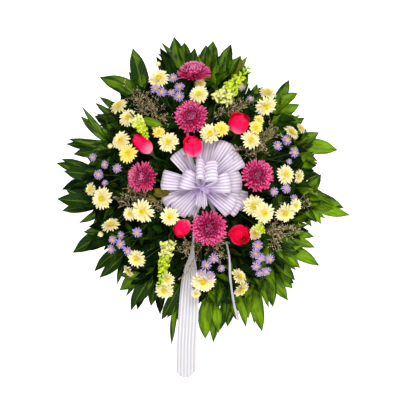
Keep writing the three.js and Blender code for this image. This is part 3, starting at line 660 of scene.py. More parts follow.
def rose(name, spec):
    pile = Pile()
    head, radius, height, shape = headAt(spec), spec["radius"], spec["height"], rosePetals
    stemTo(pile, frontEntry(*spec["at"], shape["entry"]), head, height + 4, shape["neck"])
    up = np.linspace(0, 1, shape["rows"])[:, None]
    sweep = np.linspace(-1, 1, shape["columns"])[None, :]
    turns = np.interp(up, *shape["profile"])
    rolling = np.clip((up - shape["rollFrom"]) / (1 - shape["rollFrom"]), 0, 1) ** 2
    nearing = np.clip((up - shape["closeFrom"]) / (1 - shape["closeFrom"]), 0, 1) ** 1.6
    for i in range(shape["count"]):
        share = i / (shape["count"] - 1)  # 0 at the heart, 1 outside
        angle = i * golden + grow(shape["wrap"], share) * sweep
        size = radius * grow(shape["size"], share**0.8)
        body = size * turns ** grow(shape["bulge"], share) * (1 + 0.05 * sweep)
        roll = spread(*shape["roll"]) * share**4 * rolling * radius
        closing = grow(shape["closing"], share) * nearing
        reach = np.maximum(body * (1 - closing), 0.6) + roll * (1 - 0.3 * sweep**2)
        crown = height * grow(shape["crown"], share**1.2)
        rim = crown * (1 - 0.16 * np.abs(sweep) ** 2.6) + 1.2 * np.sin(sweep * 4 + i)
        rise = up * rim - roll * 0.55
        points = np.stack([reach * np.cos(angle), reach * np.sin(angle), rise - height], -1)
        tint = "roseOuter" if share > shape["outerFrom"] else "rose"
        pile.add(onHead(points, head), tint, spread(0.1, 0.8))
    heart = [behind(head, 0.7 * height)]
    spindles(pile, heart, [head["towards"]], 0.66 * height, 0.3 * radius, "rose", 0.8, 9, 0.7)
    green = shape["sepals"]
    count = green["count"]
    long = np.full(count, green["length"] * height)
    sepals = petals(long, green["width"], green["outline"], np.radians(62), 0.35, 0.8)
    sepals = around(sepals, np.arange(count) * 2 * np.pi / count, 0.14 * radius, -height - 2)
    pile.add(onHead(sepals, head), "leaf", spread(0.2, 0.6, count))
    hip = [behind(head, height + distance) for distance in (9, 5, 1, -4)]
    tube(pile, hip, [2.6, 5, 6.4, 5], "stem", 8)
    pile.make(name, "rose_petals")


# Cream spray chrysanthemums and lavender asters. A ring of petals is [count, length, rise, curl],
# from the lowest up, and the eye is a dome of small florets. Lengths are shares of the radius.
yellowBlooms = [[133, 150], [141, 168], [48, 146], [-107, 138], [-183, 85], [-118, 150]]
creamKind = {
    "rings": [(19, 1.0, 3, -14), (17, 0.87, 15, -14), (14, 0.68, 28, -8), (11, 0.48, 46, 4)],
    "width": 0.28, "outline": ([0, 0.35, 0.68, 0.9, 1], [0.4, 0.78, 1, 0.74, 0.2]), "cup": 0.6, "ragged": 0.10,
    "florets": 50, "eye": 0.27, "eyeHeight": 0.09, "eyeFinish": "yellow", "floret": 0.045, "green": 0.25,
    "tint": "cream", "slot": "cream_petals", "seat": 1, "neck": 16, "budUnder": 22, "calyx": 5,
    "stem": 2.0, "twig": 1.4, "entry": 0.66, "fork": 0.55, "leafy": 8,
}
asterKind = {
    "rings": [(20, 1.0, 2, -6), (13, 0.84, 14, -4)],
    "width": 0.145, "outline": ([0, 0.3, 0.75, 1], [0.5, 0.9, 1, 0.4]), "cup": 0.5, "ragged": 0.17,
    "florets": 30, "eye": 0.33, "eyeHeight": 0.02, "eyeFinish": "asterEye", "floret": 0.06, "green": 0.0,
    "tint": "aster", "slot": "aster_petals", "seat": 0, "neck": 14, "budUnder": 0, "calyx": 3,
    "stem": 1.4, "twig": 1.1, "entry": 0.5, "fork": 0.62, "leafy": 6,
}
eyeDome = {"lean": 1.15, "flat": 0.75, "length": 0.15, "core": 0.8}


def daisy(pile, head, kind, tint, spin):
    radius, ragged = head["radius"], kind["ragged"]
    for i, (count, length, rise, curl) in enumerate(kind["rings"]):
        wild = spread(-1, 1, (4, count))
        batch = petals(
            radius * length * (1 + ragged * wild[0]), radius * kind["width"] * (0.8 + 0.2 * length), kind["outline"],
            np.radians(rise + 6 * wild[1]), np.radians(curl + 12 * wild[2]), kind["cup"],
            6, 4, spread(-ragged, ragged, count),
        )
        angle = (np.arange(count) + 0.5 * i + 0.22 * wild[3]) * 2 * np.pi / count
        batch = around(batch, angle, radius * 0.08, radius * (0.04 * i - 0.05))
        pile.add(onHead(batch, head, spin), tint, spread(0, 0.9, count))
    count, eye = kind["florets"], radius * kind["eye"]
    share = np.sqrt((np.arange(count) + 0.5) / count)
    angle, lean = np.arange(count) * golden, share * eyeDome["lean"]
    ways = np.stack([np.sin(lean) * np.cos(angle), np.sin(lean) * np.sin(angle), np.cos(lean)], -1)
    starts = ways * [eye, eye, eye * eyeDome["flat"]]
    starts[:, 2] += radius * kind["eyeHeight"]
    turn = basis(head["towards"], spin)
    middle = share < kind["green"]
    for part, finish in ((middle, "eye"), (~middle, kind["eyeFinish"])):
        if part.any():
            roots, tones = head["point"] + starts[part] @ turn, spread(0, 0.8, int(part.sum()))
            long, wide = radius * eyeDome["length"], radius * kind["floret"]
            spindles(pile, roots, ways[part] @ turn, long, wide, finish, tones)
    core = np.linspace(0, 1, 5)
    path = [behind(head, -radius * (kind["eyeHeight"] + kind["eye"] * eyeDome["core"] * value)) for value in core]
    tube(pile, path, eye * np.sqrt(1 - (core * 0.98) ** 2), kind["eyeFinish"], 10)


# A closed bud: petals wrapped upright over a green cup.
budPetals = {"rings": [(9, 1.5, 62, 62), (7, 1.35, 74, 60)], "outline": ([0, 0.5, 1], [0.7, 1, 0.2])}


def bud(pile, head, tint):
    radius = head["radius"]
    for count, length, rise, curl in budPetals["rings"]:
        rises = np.radians(rise) + spread(-0.1, 0.1, count)
        long = np.full(count, radius * length)
        batch = petals(long, radius * 0.85, budPetals["outline"], rises, np.radians(curl), 0.7)
        batch = around(batch, np.arange(count) * 2 * np.pi / count, radius * 0.3, -radius * 0.75)
        pile.add(onHead(batch, head), tint, spread(0.1, 0.8, count))
    spindles(pile, [behind(head, radius * 0.8)], [head["towards"]], radius * 1.5, radius * 0.75, tint, 0.4, 9)
    cup(pile, {**head, "point": behind(head, radius * 0.35)}, radius * 0.8, radius * 0.62, 1.2)


def bloomHead(x, z, diameter, lift, looks=None):
    return headAt({"at": [x, z], "radius": diameter / 2, "lift": lift, "looks": looks})


# A cut stem that branches to several blooms.
def spray(name, blooms, kind):
    pile = Pile()
    seat = kind["seat"]
    heads = [bloomHead(*bloom) for bloom in blooms]
    middle = np.mean([behind(head, seat + kind["neck"]) for head in heads], axis=0)
    entry = frontEntry(middle[0], middle[2], kind["entry"])
    collar = collarOf(entry)
    fork = lerp(collar, middle, kind["fork"])
    half = lerp(collar, fork, 0.5)
    tube(pile, smooth([entry[1], entry[0], collar, half, fork], 14), kind["stem"], "stem")
    greens(pile, [collar, half, fork], kind["leafy"])
    for i, head in enumerate(heads):
        leave = 0.97 if len(heads) == 1 else 0.55 + 0.42 * i / (len(heads) - 1)
        start, end = lerp(collar, fork, leave), behind(head, seat)
        upright = behind(head, 0.35 * np.linalg.norm(end - start))
        knee = lerp(lerp(start, end, 0.6), upright, 0.4)
        path = [start, knee, end]
        tube(pile, smooth(path, 10), kind["twig"], "stem", 5)
        greens(pile, path, 2, greenery["short"])
        tint = "butter" if head["at"] in yellowBlooms else kind["tint"]
        if 2 * head["radius"] < kind["budUnder"]:
            bud(pile, head, tint)
        else:
            cup(pile, head, kind["calyx"], head["radius"] * 0.26, kind["twig"])
            daisy(pile, head, kind, tint, spread(0, 2 * np.pi))
    pile.make(name, kind["slot"])


def creamSpray(name, blooms):
    spray(name, blooms, creamKind)


def asterSpray(name, blooms):
    spray(name, blooms, asterKind)


# Snapdragons: lipped florets in a spiral, pale and open below and closing to green buds. A spike
# of small florets has fewer of them. Each open floret has five lobes.
snapSpike = {
    "count": 34, "fewer": 16, "smallUnder": 20, "paleUntil": 0.3, "openUntil": 0.66, "greenFrom": 0.78,
    "entry": 0.58, "neck": 14, "leafy": 9, "shrink": (0.98, -0.58), "budGirth": (6.2, -3.4),
    "lobe": 0.36, "outline": ([0, 0.4, 0.8, 1], [0.6, 1, 0.9, 0.4]),
    "rises": [64, 64, 20, 12, 20], "curls": [-50, -50, -70, -60, -70], "angles": [0.5, -0.5, 2.3, np.pi, -2.3],
}


def snapdragon(name, spec):
    pile, shape = Pile(), snapSpike
    foot = place(*spec["from"], domeDepth(*spec["from"]) + spec["lift"])
    tip = place(*spec["to"], domeDepth(*spec["to"]) + spec["tipLift"])
    spine = tip - foot
    axis = unit(spine)
    side = unit(np.cross([0, -1, 0], axis))
    over = np.cross(axis, side)
    entry = frontEntry(*spec["from"], shape["entry"])
    path = [entry[1], entry[0], collarOf(entry), foot - axis * shape["neck"], foot, lerp(foot, tip, 0.5), tip]
    tube(pile, smooth(path, 28), np.linspace(2.2, 0.9, 28), "stem")
    greens(pile, path[2:5], shape["leafy"])
    size = spec["floret"]
    count = shape["count"] if size > shape["smallUnder"] else shape["fewer"]
    rises, curls = np.radians(shape["rises"]), np.radians(shape["curls"])
    for i in range(count):
        share = i / (count - 1)
        root = foot + spine * share * 0.97
        angle = i * golden
        splay = side * math.cos(angle) + over * math.sin(angle)
        length = size * grow(shape["shrink"], share)
        way = unit(splay * 0.85 + axis * 0.5)
        if share > shape["openUntil"]:
            tint = "snapBud" if share > shape["greenFrom"] else "snap"
            tone = spread(0, 0.8, 1)
            spindles(pile, [root], [way], length * 0.86, grow(shape["budGirth"], share), tint, tone, 6, 0.6)
            continue
        tint = "snapPale" if share < shape["paleUntil"] else "snap"
        spindles(pile, [root], [way], length * 0.8, 4.4, tint, spread(0.1, 0.6, 1), 7, 0.62)
        mouth = {"point": root + way * length * 0.55, "towards": way}
        lobe = length * shape["lobe"]
        lobes = petals(np.full(5, lobe), lobe, shape["outline"], rises, curls, 0.7, 6, 5)
        lobes = around(lobes, np.array(shape["angles"]), 3.0, 0)
        pile.add(onHead(lobes, mouth, angle), tint, spread(0, 0.7, 5))
    pile.make(name, "snapdragon_florets")


# Sea lavender: wiry twigs that fork again and again, set with small papery buds.
plume = {
    "entry": 0.58, "leafy": 7, "under": 10, "shoots": 11, "shoot": (16, 38), "shrink": (1.25, -0.45), "wander": 4,
    "buds": 4, "reach": (2.5, 8.5), "bud": (3.0, 7.0), "girth": (0.5, 0.9),
}


def seaLavenderSpray(name, places):
    pile = Pile()
    wander, buds = plume["wander"], plume["buds"]
    (forkX, forkZ), *ends = places
    entry = frontEntry(forkX, forkZ, plume["entry"])
    collar = collarOf(entry)
    fork = place(forkX, forkZ, 0.3 * domeDepth(forkX, forkZ) + 0.7 * foam["frontDepth"])
    tube(pile, smooth([entry[1], entry[0], collar, fork], 12), 1.3, "wiry", 5)
    greens(pile, [collar, lerp(collar, fork, 0.5), fork], plume["leafy"])
    for i, (x, z) in enumerate(ends):
        root = lerp(collar, fork, 0.6 + 0.38 * i / (len(ends) - 1))
        tip = place(x, z, domeDepth(x, z) - plume["under"])
        line = tip - root
        bent = [
            root, lerp(root, tip, 0.35) + spread(-wander, wander, 3),
            lerp(root, tip, 0.7) + spread(-wander, wander, 3), tip,
        ]
        path = smooth(bent, 25)
        tube(pile, path, np.linspace(1.1, 0.5, 25), "wiry", 4)
        for k in range(plume["shoots"]):
            share = lerp(0.42, 1.0, k / (plume["shoots"] - 1))
            start = path[min(int(share * 24), 24)]
            way = unit(unit(line) * 0.6 + unit(chance.normal(size=3)))
            reach = way * spread(*plume["shoot"]) * grow(plume["shrink"], share)
            bent = [
                start, start + reach * 0.35 + spread(-wander, wander, 3),
                start + reach * 0.7 + spread(-wander - 1, wander + 1, 3), start + reach,
            ]
            twig = smooth(bent, 9)
            tube(pile, twig, np.linspace(0.55, 0.35, 9), "wiry", 3)
            spots = twig[np.minimum((spread(0.3, 1.0, buds) * 8).round().astype(int), 8)]
            ways = unit(way + unit(chance.normal(size=(buds, 3))) * 1.1)
            tips = spots + ways * spread(*plume["reach"], buds)[:, None]
            for spot, end in zip(spots, tips):
                tube(pile, [spot, end], 0.32, "wiry", 3)
            long, wide = spread(*plume["bud"], buds), spread(*plume["girth"], buds)
            spindles(pile, tips - ways * 0.4, ways, long, wide, "lavenderBud", spread(0, 1, buds), 4)
    pile.make(name, "sea_lavender_twigs")


# Leafy branches, in levels that lie one over another, each a little further forward outwards. The branch's stem is
# given from the foam's side. A blade is one of the outer leaves, the low leaf is the broad one under a shoot, filler
# closes the collar, and backing is the fan of leaves behind it. The low leaf, the backing and part of the filler have
# the near-black leaf finish, painted shade.
branchStem = {"inner": -32, "mouth": -2, "fork": 14, "radius": 2.2, "tip": 1.2}
blade = {"broader": 1.12, "fold": (0.1, 0.36), "bend": 0.08, "arch": (0.02, 0.1), "twist": 0.35, "grid": (14, 9)}
lowLeaf = {"width": 44, "reach": 0.84, "splay": 0.31, "shape": (0.25, 0.03, 0.06, 0.1, 12, 7)}
filler = {
    "count": 34, "rim": 300, "length": (58, 104), "width": (0.24, 0.36), "swing": (1.9, -0.9),
    "fold": (0.15, 0.45), "bend": 0.12, "arch": (0.02, 0.14), "twist": 0.4, "grid": (9, 6),
}
backing = {"count": 15, "fan": 0.75, "root": 22, "lengths": [122, 182, 150], "width": (42, 52)}
looseShape = (0.25, 0.08, 0.12, 0.2, 12, 7)


def leafDepth(level, x, z):
    return 34 + 18 * level + 0.05 * (math.hypot(x, z) - foam["radius"])


def addBlades(pile, spec, fork, end, blades):
    level, count = spec["level"], len(blades)
    bases = [lerp(fork, end, min(share, 0.96)) for _, _, _, share in blades]
    tips = [place(x, z, leafDepth(level, x, z) + 4 * (i % 3 - 1)) for i, (x, z, _, _) in enumerate(blades)]
    widths = np.array([width for _, _, width, _ in blades], float) * blade["broader"]
    front = facing(0.3, -0.1, 0.4, count)
    leaves(pile, bases, tips, widths, front, "leaf", spread(*spec["tone"], count), *wayward(blade, count))


def addLowLeaf(pile, fork, end, splay):
    reach = end - fork
    cos, sin = math.cos(splay), math.sin(splay)
    turned = np.array([reach[0] * cos + reach[2] * sin, reach[1], reach[2] * cos - reach[0] * sin])
    tip = fork + turned * lowLeaf["reach"]
    # The low leaf has the near-black finish: painted shade under the shoot.
    leaves(pile, lerp(fork, end, 0.05), tip, lowLeaf["width"], [0, -1, 0.1], "darkLeaf", 0.5, *lowLeaf["shape"])


def addFiller(pile, bright, fork, end):
    count = filler["count"]
    at = np.repeat(spread(0.0, 0.95, count)[:, None], 3, 1)
    starts = fork + (end - fork) * at
    heading = unit(end - fork)
    swing = spread(-1, 1, count) * grow(filler["swing"], at[:, 0])
    ways = np.stack([
        heading[0] * np.cos(swing) - heading[2] * np.sin(swing),
        spread(-0.75, 0.1, count),
        heading[2] * np.cos(swing) + heading[0] * np.sin(swing),
    ], -1)
    long = spread(*filler["length"], count)
    ends = starts + unit(ways) * long[:, None]
    pull = np.minimum(1, filler["rim"] / np.hypot(ends[:, 0], ends[:, 2]))
    ends[:, 0] *= pull
    ends[:, 2] *= pull
    keepBack(starts)
    keepBack(ends)
    front = facing(0.5, -0.2, 0.6, count)
    # Painted light and shade by side: on a branch whose tone reaches higher, more fillers take the lit leaf finish
    # and higher tones; the rest take the near-black finish, painted shade.
    lit = chance.random(count) < 0.2 + 0.65 * bright
    for part, finish in ((lit, "leaf"), (~lit, "darkLeaf")):
        number = int(part.sum())
        wide = long[part] * spread(*filler["width"], number)
        tones = spread(0.0, 0.8, number) * (0.3 + 0.8 * bright)
        leaves(pile, starts[part], ends[part], wide, front[part], finish, tones, *wayward(filler, number))


def addBacking(pile, fork, middle):
    count = backing["count"]
    swing = np.linspace(-backing["fan"], backing["fan"], count) + math.atan2(middle[2], middle[0])
    ways = np.stack([np.cos(swing), spread(-0.25, 0.0, count), np.sin(swing)], -1)
    root = fork - middle * backing["root"]
    tips = root + ways * np.resize(backing["lengths"], count)[:, None]
    keepBack(tips)
    roots, front = np.repeat([root], count, 0), np.tile([0, -1.0, 0.1], (count, 1))
    wide, tones = spread(*backing["width"], count), spread(0, 0.5, count)
    # The backing leaves have the near-black finish: painted shade behind the branch.
    leaves(pile, roots, tips, wide, front, "darkLeaf", tones, 0.15, spread(-0.1, 0.1, count), 0.04, 0.0, 9, 6)


def leafyBranch(name, spec):
    pile = Pile()
    level, shoots = spec["level"], spec["shoots"]
    middle = unit(np.mean([place(*shoot[0], 0) for shoot in shoots], axis=0))

    def on(further):
        reach = foam["radius"] + further
        return place(reach * middle[0], reach * middle[2], leafDepth(level, reach * middle[0], reach * middle[2]))

    fork = on(branchStem["fork"])
    tube(pile, [on(branchStem["inner"]), on(branchStem["mouth"]), fork], branchStem["radius"], "stem")
    for i, ((endX, endZ), blades) in enumerate(shoots):
        end = place(endX, endZ, leafDepth(level, endX, endZ))
        girth = np.linspace(branchStem["radius"], branchStem["tip"], 10)
        tube(pile, smooth([fork, lerp(fork, end, 0.5), end], 10), girth, "stem", 5)
        addBlades(pile, spec, fork, end, blades)
        addLowLeaf(pile, fork, end, -lowLeaf["splay"] if i % 2 else lowLeaf["splay"])
        addFiller(pile, spec["tone"][1], fork, end)
    for base, tip, width, finish, tone in spec.get("loose", []):
        leaves(pile, place(*base), place(*tip), width, [0.1, -1, 0.2], finish, tone, *looseShape)
    addBacking(pile, fork, middle)
    pile.make(name, "leaves")


# The ribbon bow. A loop is [direction in degrees, reach, width at its end, opening, lean towards
# the viewer in degrees, depth of its root, roll in degrees]; a roll of 90 shows the loop's side.
ribbon = {"width": 50, "gather": 0.22, "folds": 2.5, "rows": 49, "columns": 41}
bowLoops = [
    [78, 120, 50, 30, 0, 139, 0], [57, 126, 50, 30, 3, 144, 0], [37, 121, 50, 30, 6, 149, 0],
    [-8, 99, 50, 30, 2, 145, 0], [7, 100, 50, 34, 4, 150, 0], [6, 80, 50, 34, 28, 158, 0],
    [-20, 118, 50, 30, 0, 140, 0], [-31, 112, 50, 28, 3, 144, 0], [-38, 98, 50, 28, 8, 150, 0],
    [-93, 60, 32, 24, 26, 156, 0], [-117, 82, 42, 24, 3, 143, 0], [-134, 92, 50, 26, 6, 147, 0],
    [-158, 106, 50, 34, 0, 139, 38], [171, 103, 50, 34, 4, 149, 0], [158, 64, 50, 34, 36, 158, 0],
    [126, 106, 50, 28, 3, 142, 0], [106, 90, 46, 26, 8, 147, 0],
    [97, 66, 52, 22, 48, 163, 90], [54, 64, 52, 36, 42, 163, 90],
]
# The crumpled band round the knot, "half" radians to each side of its front.
knotBand = {"half": 2.2, "depth": 165, "bulge": 13, "wide": 17, "tall": 14, "drop": 3, "span": 7, "crumple": 2.2}


# The depth of the folds that take up what a gathered width is short of the flat one.
def slackOf(wide, folds):
    return np.sqrt(np.maximum(ribbon["width"] ** 2 - wide**2, 0)) / (4 * folds)


def lengthAlong(spine):
    return np.concatenate([[0], np.cumsum(np.linalg.norm(np.diff(spine, axis=0), axis=1))])


# Adds a length of ribbon; shade, where given, is how deep each point lies in a fold, which the finish paints as a
# deeper violet shade.
def addRibbon(pile, points, finish, along, across, shade):
    pile.add(points, finish, 0.0, along=along[None, :, None], across=across[None, None, :])
    pile.notes[-1][:, 2] = shade.reshape(-1)


def loopPoints(direction, reach, width, opening, lean, root, roll):
    turn, tilt, rolled = (math.radians(value) for value in (direction, lean, roll))
    out = np.array([math.cos(turn) * math.cos(tilt), -math.sin(tilt), math.sin(turn) * math.cos(tilt)])
    flat = np.array([-math.sin(turn), 0, math.cos(turn)])
    across = flat * math.cos(rolled) + np.cross(out, flat) * math.sin(rolled)
    up = unit(np.cross(out, across))
    if roll == 90:
        across, up = unit([0, 0.3, 1]), np.array([1.0, 0, 0])
    time = np.linspace(0.012, 0.988, ribbon["rows"])
    v = np.linspace(-1, 1, ribbon["columns"])
    swing = np.sin(np.pi * time)
    spine = (
        place(*knot, root)
        + out * (reach * swing)[:, None]
        + up * (opening / 2 * np.sin(2 * np.pi * time) * (0.6 + 0.4 * swing))[:, None]
    )
    normal = np.cross(unit(np.gradient(spine, axis=0)), across)
    wide = width * (ribbon["gather"] + (1 - ribbon["gather"]) * swing**0.6)
    phase = direction * 0.7
    fold = np.sin(np.pi * ribbon["folds"] * v + phase)
    crown = -0.05 * reach * swing**3
    wave = 0.9 * np.sin(time * 21 + phase)[:, None] * np.cos(v * 4 + phase) * swing[:, None]
    points = (
        spine[:, None]
        + across * (v * wide[:, None] / 2)[..., None]
        + normal[:, None] * (slackOf(wide, ribbon["folds"])[:, None] * fold + wave)[..., None]
        + out * (crown[:, None] * v**2)[..., None]
    )
    # Painted shade: deepest near the knot, where the loop is gathered, and in the hollows of its folds.
    shade = np.clip(1 - 1.6 * swing, 0, 1)[:, None] * (0.5 - 0.4 * fold)
    return points, lengthAlong(spine), shade


def ribbonBow(name):
    pile, length = Pile(), 0.0
    across = np.linspace(-1, 1, ribbon["columns"]) * ribbon["width"] / 2
    for loop in bowLoops:
        points, along, shade = loopPoints(*loop)
        addRibbon(pile, points, "ribbon", along, across, shade)
        length += along[-1]
    band = knotBand
    angle, v = np.linspace(-band["half"], band["half"], 25), np.linspace(-1, 1, 21)
    wrap = np.stack([
        knot[0] + band["wide"] * np.sin(angle),
        -(band["depth"] + band["bulge"] * np.cos(angle)),
        knot[1] - band["drop"] - band["tall"] * np.sin(angle),
    ], -1)
    sideways = unit([1, 0, 1])
    crumple = band["crumple"] * np.sin(v * 7)[None, :] * (1 + 0.3 * np.sin(angle * 2))[:, None]
    lifted = np.stack([np.sin(angle), -np.cos(angle), 0 * angle], -1)
    points = wrap[:, None] + sideways * (v * band["span"])[None, :, None] + lifted[:, None] * crumple[..., None]
    # The band round the knot is painted with an even fold shade of 0.3.
    addRibbon(pile, points, "ribbon", angle * 10, v * ribbon["width"] / 2, np.full(points.shape[:2], 0.3))
    bow = pile.make(name, "ribbon")
    length * mm
    print(f"bow ribbon {length:.0f} mm")


# A tail is given as stations down the ribbon: [x, z, depth, twist in degrees, width].
tailShape = {
    "rows": 130, "columns": 49, "folds": 6, "phase": 0.6, "cupped": 2.2, "sway": 1.2,
    "cut": 18, "cutFrom": 0.9, "shadeFrom": 3, "shade": 0.3,
}
ribbonTails = {
    "ribbon_tail_left": [
        [-7, -7.4, 127, 20, 12], [-13, -50, 118, 55, 18], [-20, -110, 116, 75, 22],
        [-24, -160, 112, 72, 26], [-29, -200, 103, 38, 38], [-31, -250, 97, 8, 46],
        [-34, -320, 92, 0, 50], [-38, -400, 82, 0, 50], [-39, -474, 70, 0, 50],
    ],
    "ribbon_tail_right": [
        [7, -7.4, 127, -20, 12], [27, -50, 120, -60, 16], [50, -102, 126, -84, 18],
        [62, -145, 140, -88, 20], [68, -185, 156, -90, 22], [70, -228, 146, -89, 24],
        [77, -280, 118, -88, 26], [88, -331, 95, -84, 26],
    ],
}


def ribbonTail(name, stations):
    pile, shape = Pile(), tailShape
    x, z, depth, twist, wide = smooth(stations, shape["rows"]).T
    wide = np.minimum(wide, ribbon["width"])
    turn = np.radians(twist)
    spine = np.stack([x, -depth, z], -1)
    across = np.stack([np.cos(turn), -np.sin(turn), 0 * turn], -1)
    normal = np.stack([np.sin(turn), np.cos(turn), 0 * turn], -1)
    v = np.linspace(-1, 1, shape["columns"])
    slack = slackOf(wide, shape["folds"])
    fold = np.sin(np.pi * shape["folds"] * v + shape["phase"])
    share = np.linspace(0, 1, shape["rows"])
    cupped = -shape["cupped"] * (1 - v**2) * share[:, None] + shape["sway"] * np.sin(share * 17)[:, None] * v
    points = (
        spine[:, None]
        + across[:, None] * (v * wide[:, None] / 2)[..., None]
        + normal[:, None] * (slack[:, None] * fold + cupped)[..., None]
    )
    last = np.clip((share - shape["cutFrom"]) / (1 - shape["cutFrom"]), 0, 1)[:, None]
    points[..., 2] += shape["cut"] * np.abs(v + 0.1) ** 2.4 * last
    along = lengthAlong(spine)
    # Painted shade in the hollows of the tail's folds, stronger where the ribbon is gathered narrow.
    shade = np.clip(slack / shape["shadeFrom"], 0, 1)[:, None] * shape["shade"] * (1 - fold)
    # The tail takes the greyer copy of the ribbon finish, which paints the light it gets.
    addRibbon(pile, points, "tailRibbon", along, v * ribbon["width"] / 2, shade)
    tail = pile.make(name, "ribbon")
    print(f"{name} {along[-1]:.0f} mm")


# The arrangement. A head stands at [x, z], at the dome's depth plus its lift; looks is the
# direction it faces where that is not simply outward.

chrysanthemums = {
    "mum_top": {"at": [-20, 286], "radius": 45, "lift": 6, "looks": [-0.03, -0.46, 0.88]},
    "mum_upper": {"at": [-27, 176], "radius": 44, "stray": [-36, 146, 30], "lift": 12, "looks": [-0.08, -0.95, 0.25]},
    "mum_left": {"at": [-148, 26], "radius": 41, "lift": 8, "looks": [-0.4, -0.9, 0.1]},
    "mum_right": {"at": [137, 30], "radius": 43, "lift": 20, "looks": [0.2, -0.97, 0.08]},
    "mum_lower": {"at": [17, -99], "radius": 47, "lift": 34, "looks": [0, -0.98, -0.14]},
}

roses = {
    "rose_left": {"at": [-168, 130], "radius": 21, "height": 62, "lift": 14, "looks": [-0.68, -0.24, 0.7]},
    "rose_upper_right": {"at": [99, 181], "radius": 27, "height": 56, "lift": 20, "looks": [0.26, -0.56, 0.76]},
    "rose_bow": {"at": [-25, 125], "radius": 25, "height": 56, "lift": 30, "looks": [-0.1, -0.54, 0.84]},
    "rose_lower_left": {"at": [-62, -116], "radius": 21, "height": 54, "lift": 14, "looks": [-0.5, -0.6, -0.6]},
    "rose_lower_right": {"at": [97, -121], "radius": 28, "height": 52, "lift": 26, "looks": [0.16, -0.97, -0.16]},
}

# Cream spray chrysanthemums, as the blooms and buds of each cut stem: [x, z, diameter, lift, looks].
creamSprays = {
    "cream_spray_top_left": [[-107, 272, 50, 6], [-109, 309, 18, 0]],
    "cream_spray_top": [[-8, 231, 47, 11], [-4, 259, 28, -14]],
    "cream_spray_left_outer": [
        [-207, 203, 44, 0, [-0.45, -0.62, 0.64]], [-184, 174, 44, 2], [-201, 117, 46, 0], [-183, 85, 46, 14],
        [-228, 104, 18, 0],
    ],
    "cream_spray_left_inner": [[-84, 113, 50, -4], [-107, 138, 30, 0], [-118, 150, 20, -10]],
    "cream_spray_bow": [[20, 134, 50, 4], [48, 146, 36, 18]],
    "cream_spray_right_upper": [
        [121, 119, 46, -4], [133, 150, 34, 10], [141, 168, 26, -2], [158, 202, 52, 0, [0.3, -0.8, -0.52]],
        [163, 236, 42, 6, [0.25, -0.62, 0.74]],
    ],
    "cream_spray_right": [
        [207, 34, 46, 0], [240, 28, 34, 4, [0.75, -0.62, -0.1]], [222, 138, 40, 4, [0.62, -0.5, 0.6]],
        [246, 148, 28, 6, [0.75, -0.5, 0.45]],
    ],
    "cream_spray_left": [
        [-248, -26, 54, 0], [-277, -3, 32, -14, [-0.7, -0.7, 0.1]], [-226, -92, 44, -6, [-0.25, -0.62, 0.74]],
        [-252, -115, 20, -8],
    ],
    "cream_spray_left_lower": [[-147, -58, 56, 4], [-179, -64, 34, -12], [-79, -71, 46, 16]],
    "cream_spray_foot_left": [
        [-162, -175, 46, 2], [-183, -206, 32, -2, [-0.75, -0.35, -0.56]], [-94, -254, 46, -8], [-87, -227, 38, 0],
    ],
    "cream_spray_foot": [[3, -231, 58, 0], [-15, -263, 24, -8]],
    "cream_spray_foot_right": [[92, -219, 42, 4, [0.62, -0.62, 0.48]], [97, -252, 44, -4, [0.62, -0.45, -0.64]]],
    "cream_spray_right_lower": [
        [127, -44, 52, 2], [153, -62, 52, 18], [131, -112, 34, -16], [206, -62, 50, -2, [0.35, -0.8, -0.48]],
        [232, -44, 32, 12],
    ],
}

# Lavender asters: [x, z, diameter, lift].
asterSprays = {
    "aster_spray_top": [
        [-72, 273, 24, 6], [-115, 246, 25, 16], [-99, 237, 25, 22], [-56, 250, 25, 12], [-57, 226, 26, 20],
        [-76, 236, 20, 6],
    ],
    "aster_spray_top_right": [[97, 250, 20, 8], [121, 222, 16, -8]],
    "aster_spray_left": [
        [-271, 76, 20, 0], [-241, 58, 20, 4], [-256, 33, 26, 8], [-210, 48, 23, 6], [-241, 12, 16, -10],
    ],
    "aster_spray_left_lower": [
        [-222, -128, 22, 6], [-201, -139, 25, 12], [-226, -152, 22, 0], [-184, -156, 22, 14], [-201, -117, 18, 0],
        [-160, -110, 25, 2],
    ],
    "aster_spray_right_upper": [[210, 119, 25, 4], [187, 104, 23, 8], [228, 88, 25, 6], [216, 65, 15, 0]],
    "aster_spray_right": [[178, -9, 21, 2], [208, -2, 24, 4], [228, -26, 19, -6]],
    "aster_spray_foot": [
        [11, -190, 25, 14], [29, -174, 25, 8], [-2, -210, 22, 22], [19, -217, 25, 16], [48, -199, 18, 4],
    ],
    "aster_spray_right_lower": [
        [137, -142, 25, 6], [132, -162, 24, 2], [144, -174, 24, 12], [167, -176, 24, 6], [134, -193, 24, 8],
        [142, -212, 18, -2], [158, -207, 24, 6],
    ],
}

# Snapdragon spikes, from the lowest floret to the tip of the buds.
snapdragons = {
    "snapdragon_top_right": {"from": [40, 208], "to": [116, 300], "lift": 8, "tipLift": 14, "floret": 34},
    "snapdragon_left": {"from": [-166, 172], "to": [-133, 124], "lift": 22, "tipLift": 50, "floret": 22},
    "snapdragon_foot_left": {"from": [-82, -128], "to": [-106, -246], "lift": -6, "tipLift": 30, "floret": 27},
    "snapdragon_right": {"from": [136, -94], "to": [152, -108], "lift": 2, "tipLift": 44, "floret": 17},
}

# Sea lavender: wiry twigs from a fork near the first place to each of the others.
seaLavender = {
    "sea_lavender_upper_left": [
        [-120, 170], [-182, 246], [-160, 222], [-138, 236], [-118, 214], [-150, 195], [-100, 178],
    ],
    "sea_lavender_upper_right": [[60, 150], [48, 186], [72, 206], [92, 202], [112, 214]],
    "sea_lavender_right": [[130, 90], [170, 152], [158, 122], [180, 132], [150, 92], [84, 96]],
    "sea_lavender_lower_left": [[-118, -36], [-182, -20], [-198, -42], [-168, -8], [-108, -46]],
    "sea_lavender_foot": [[10, -130], [-42, -142], [-52, -160], [-38, -214], [48, -136], [52, -170]],
    "sea_lavender_right_lower": [[150, -128], [196, -104], [214, -96], [240, -110], [186, -138], [262, -8]],
}
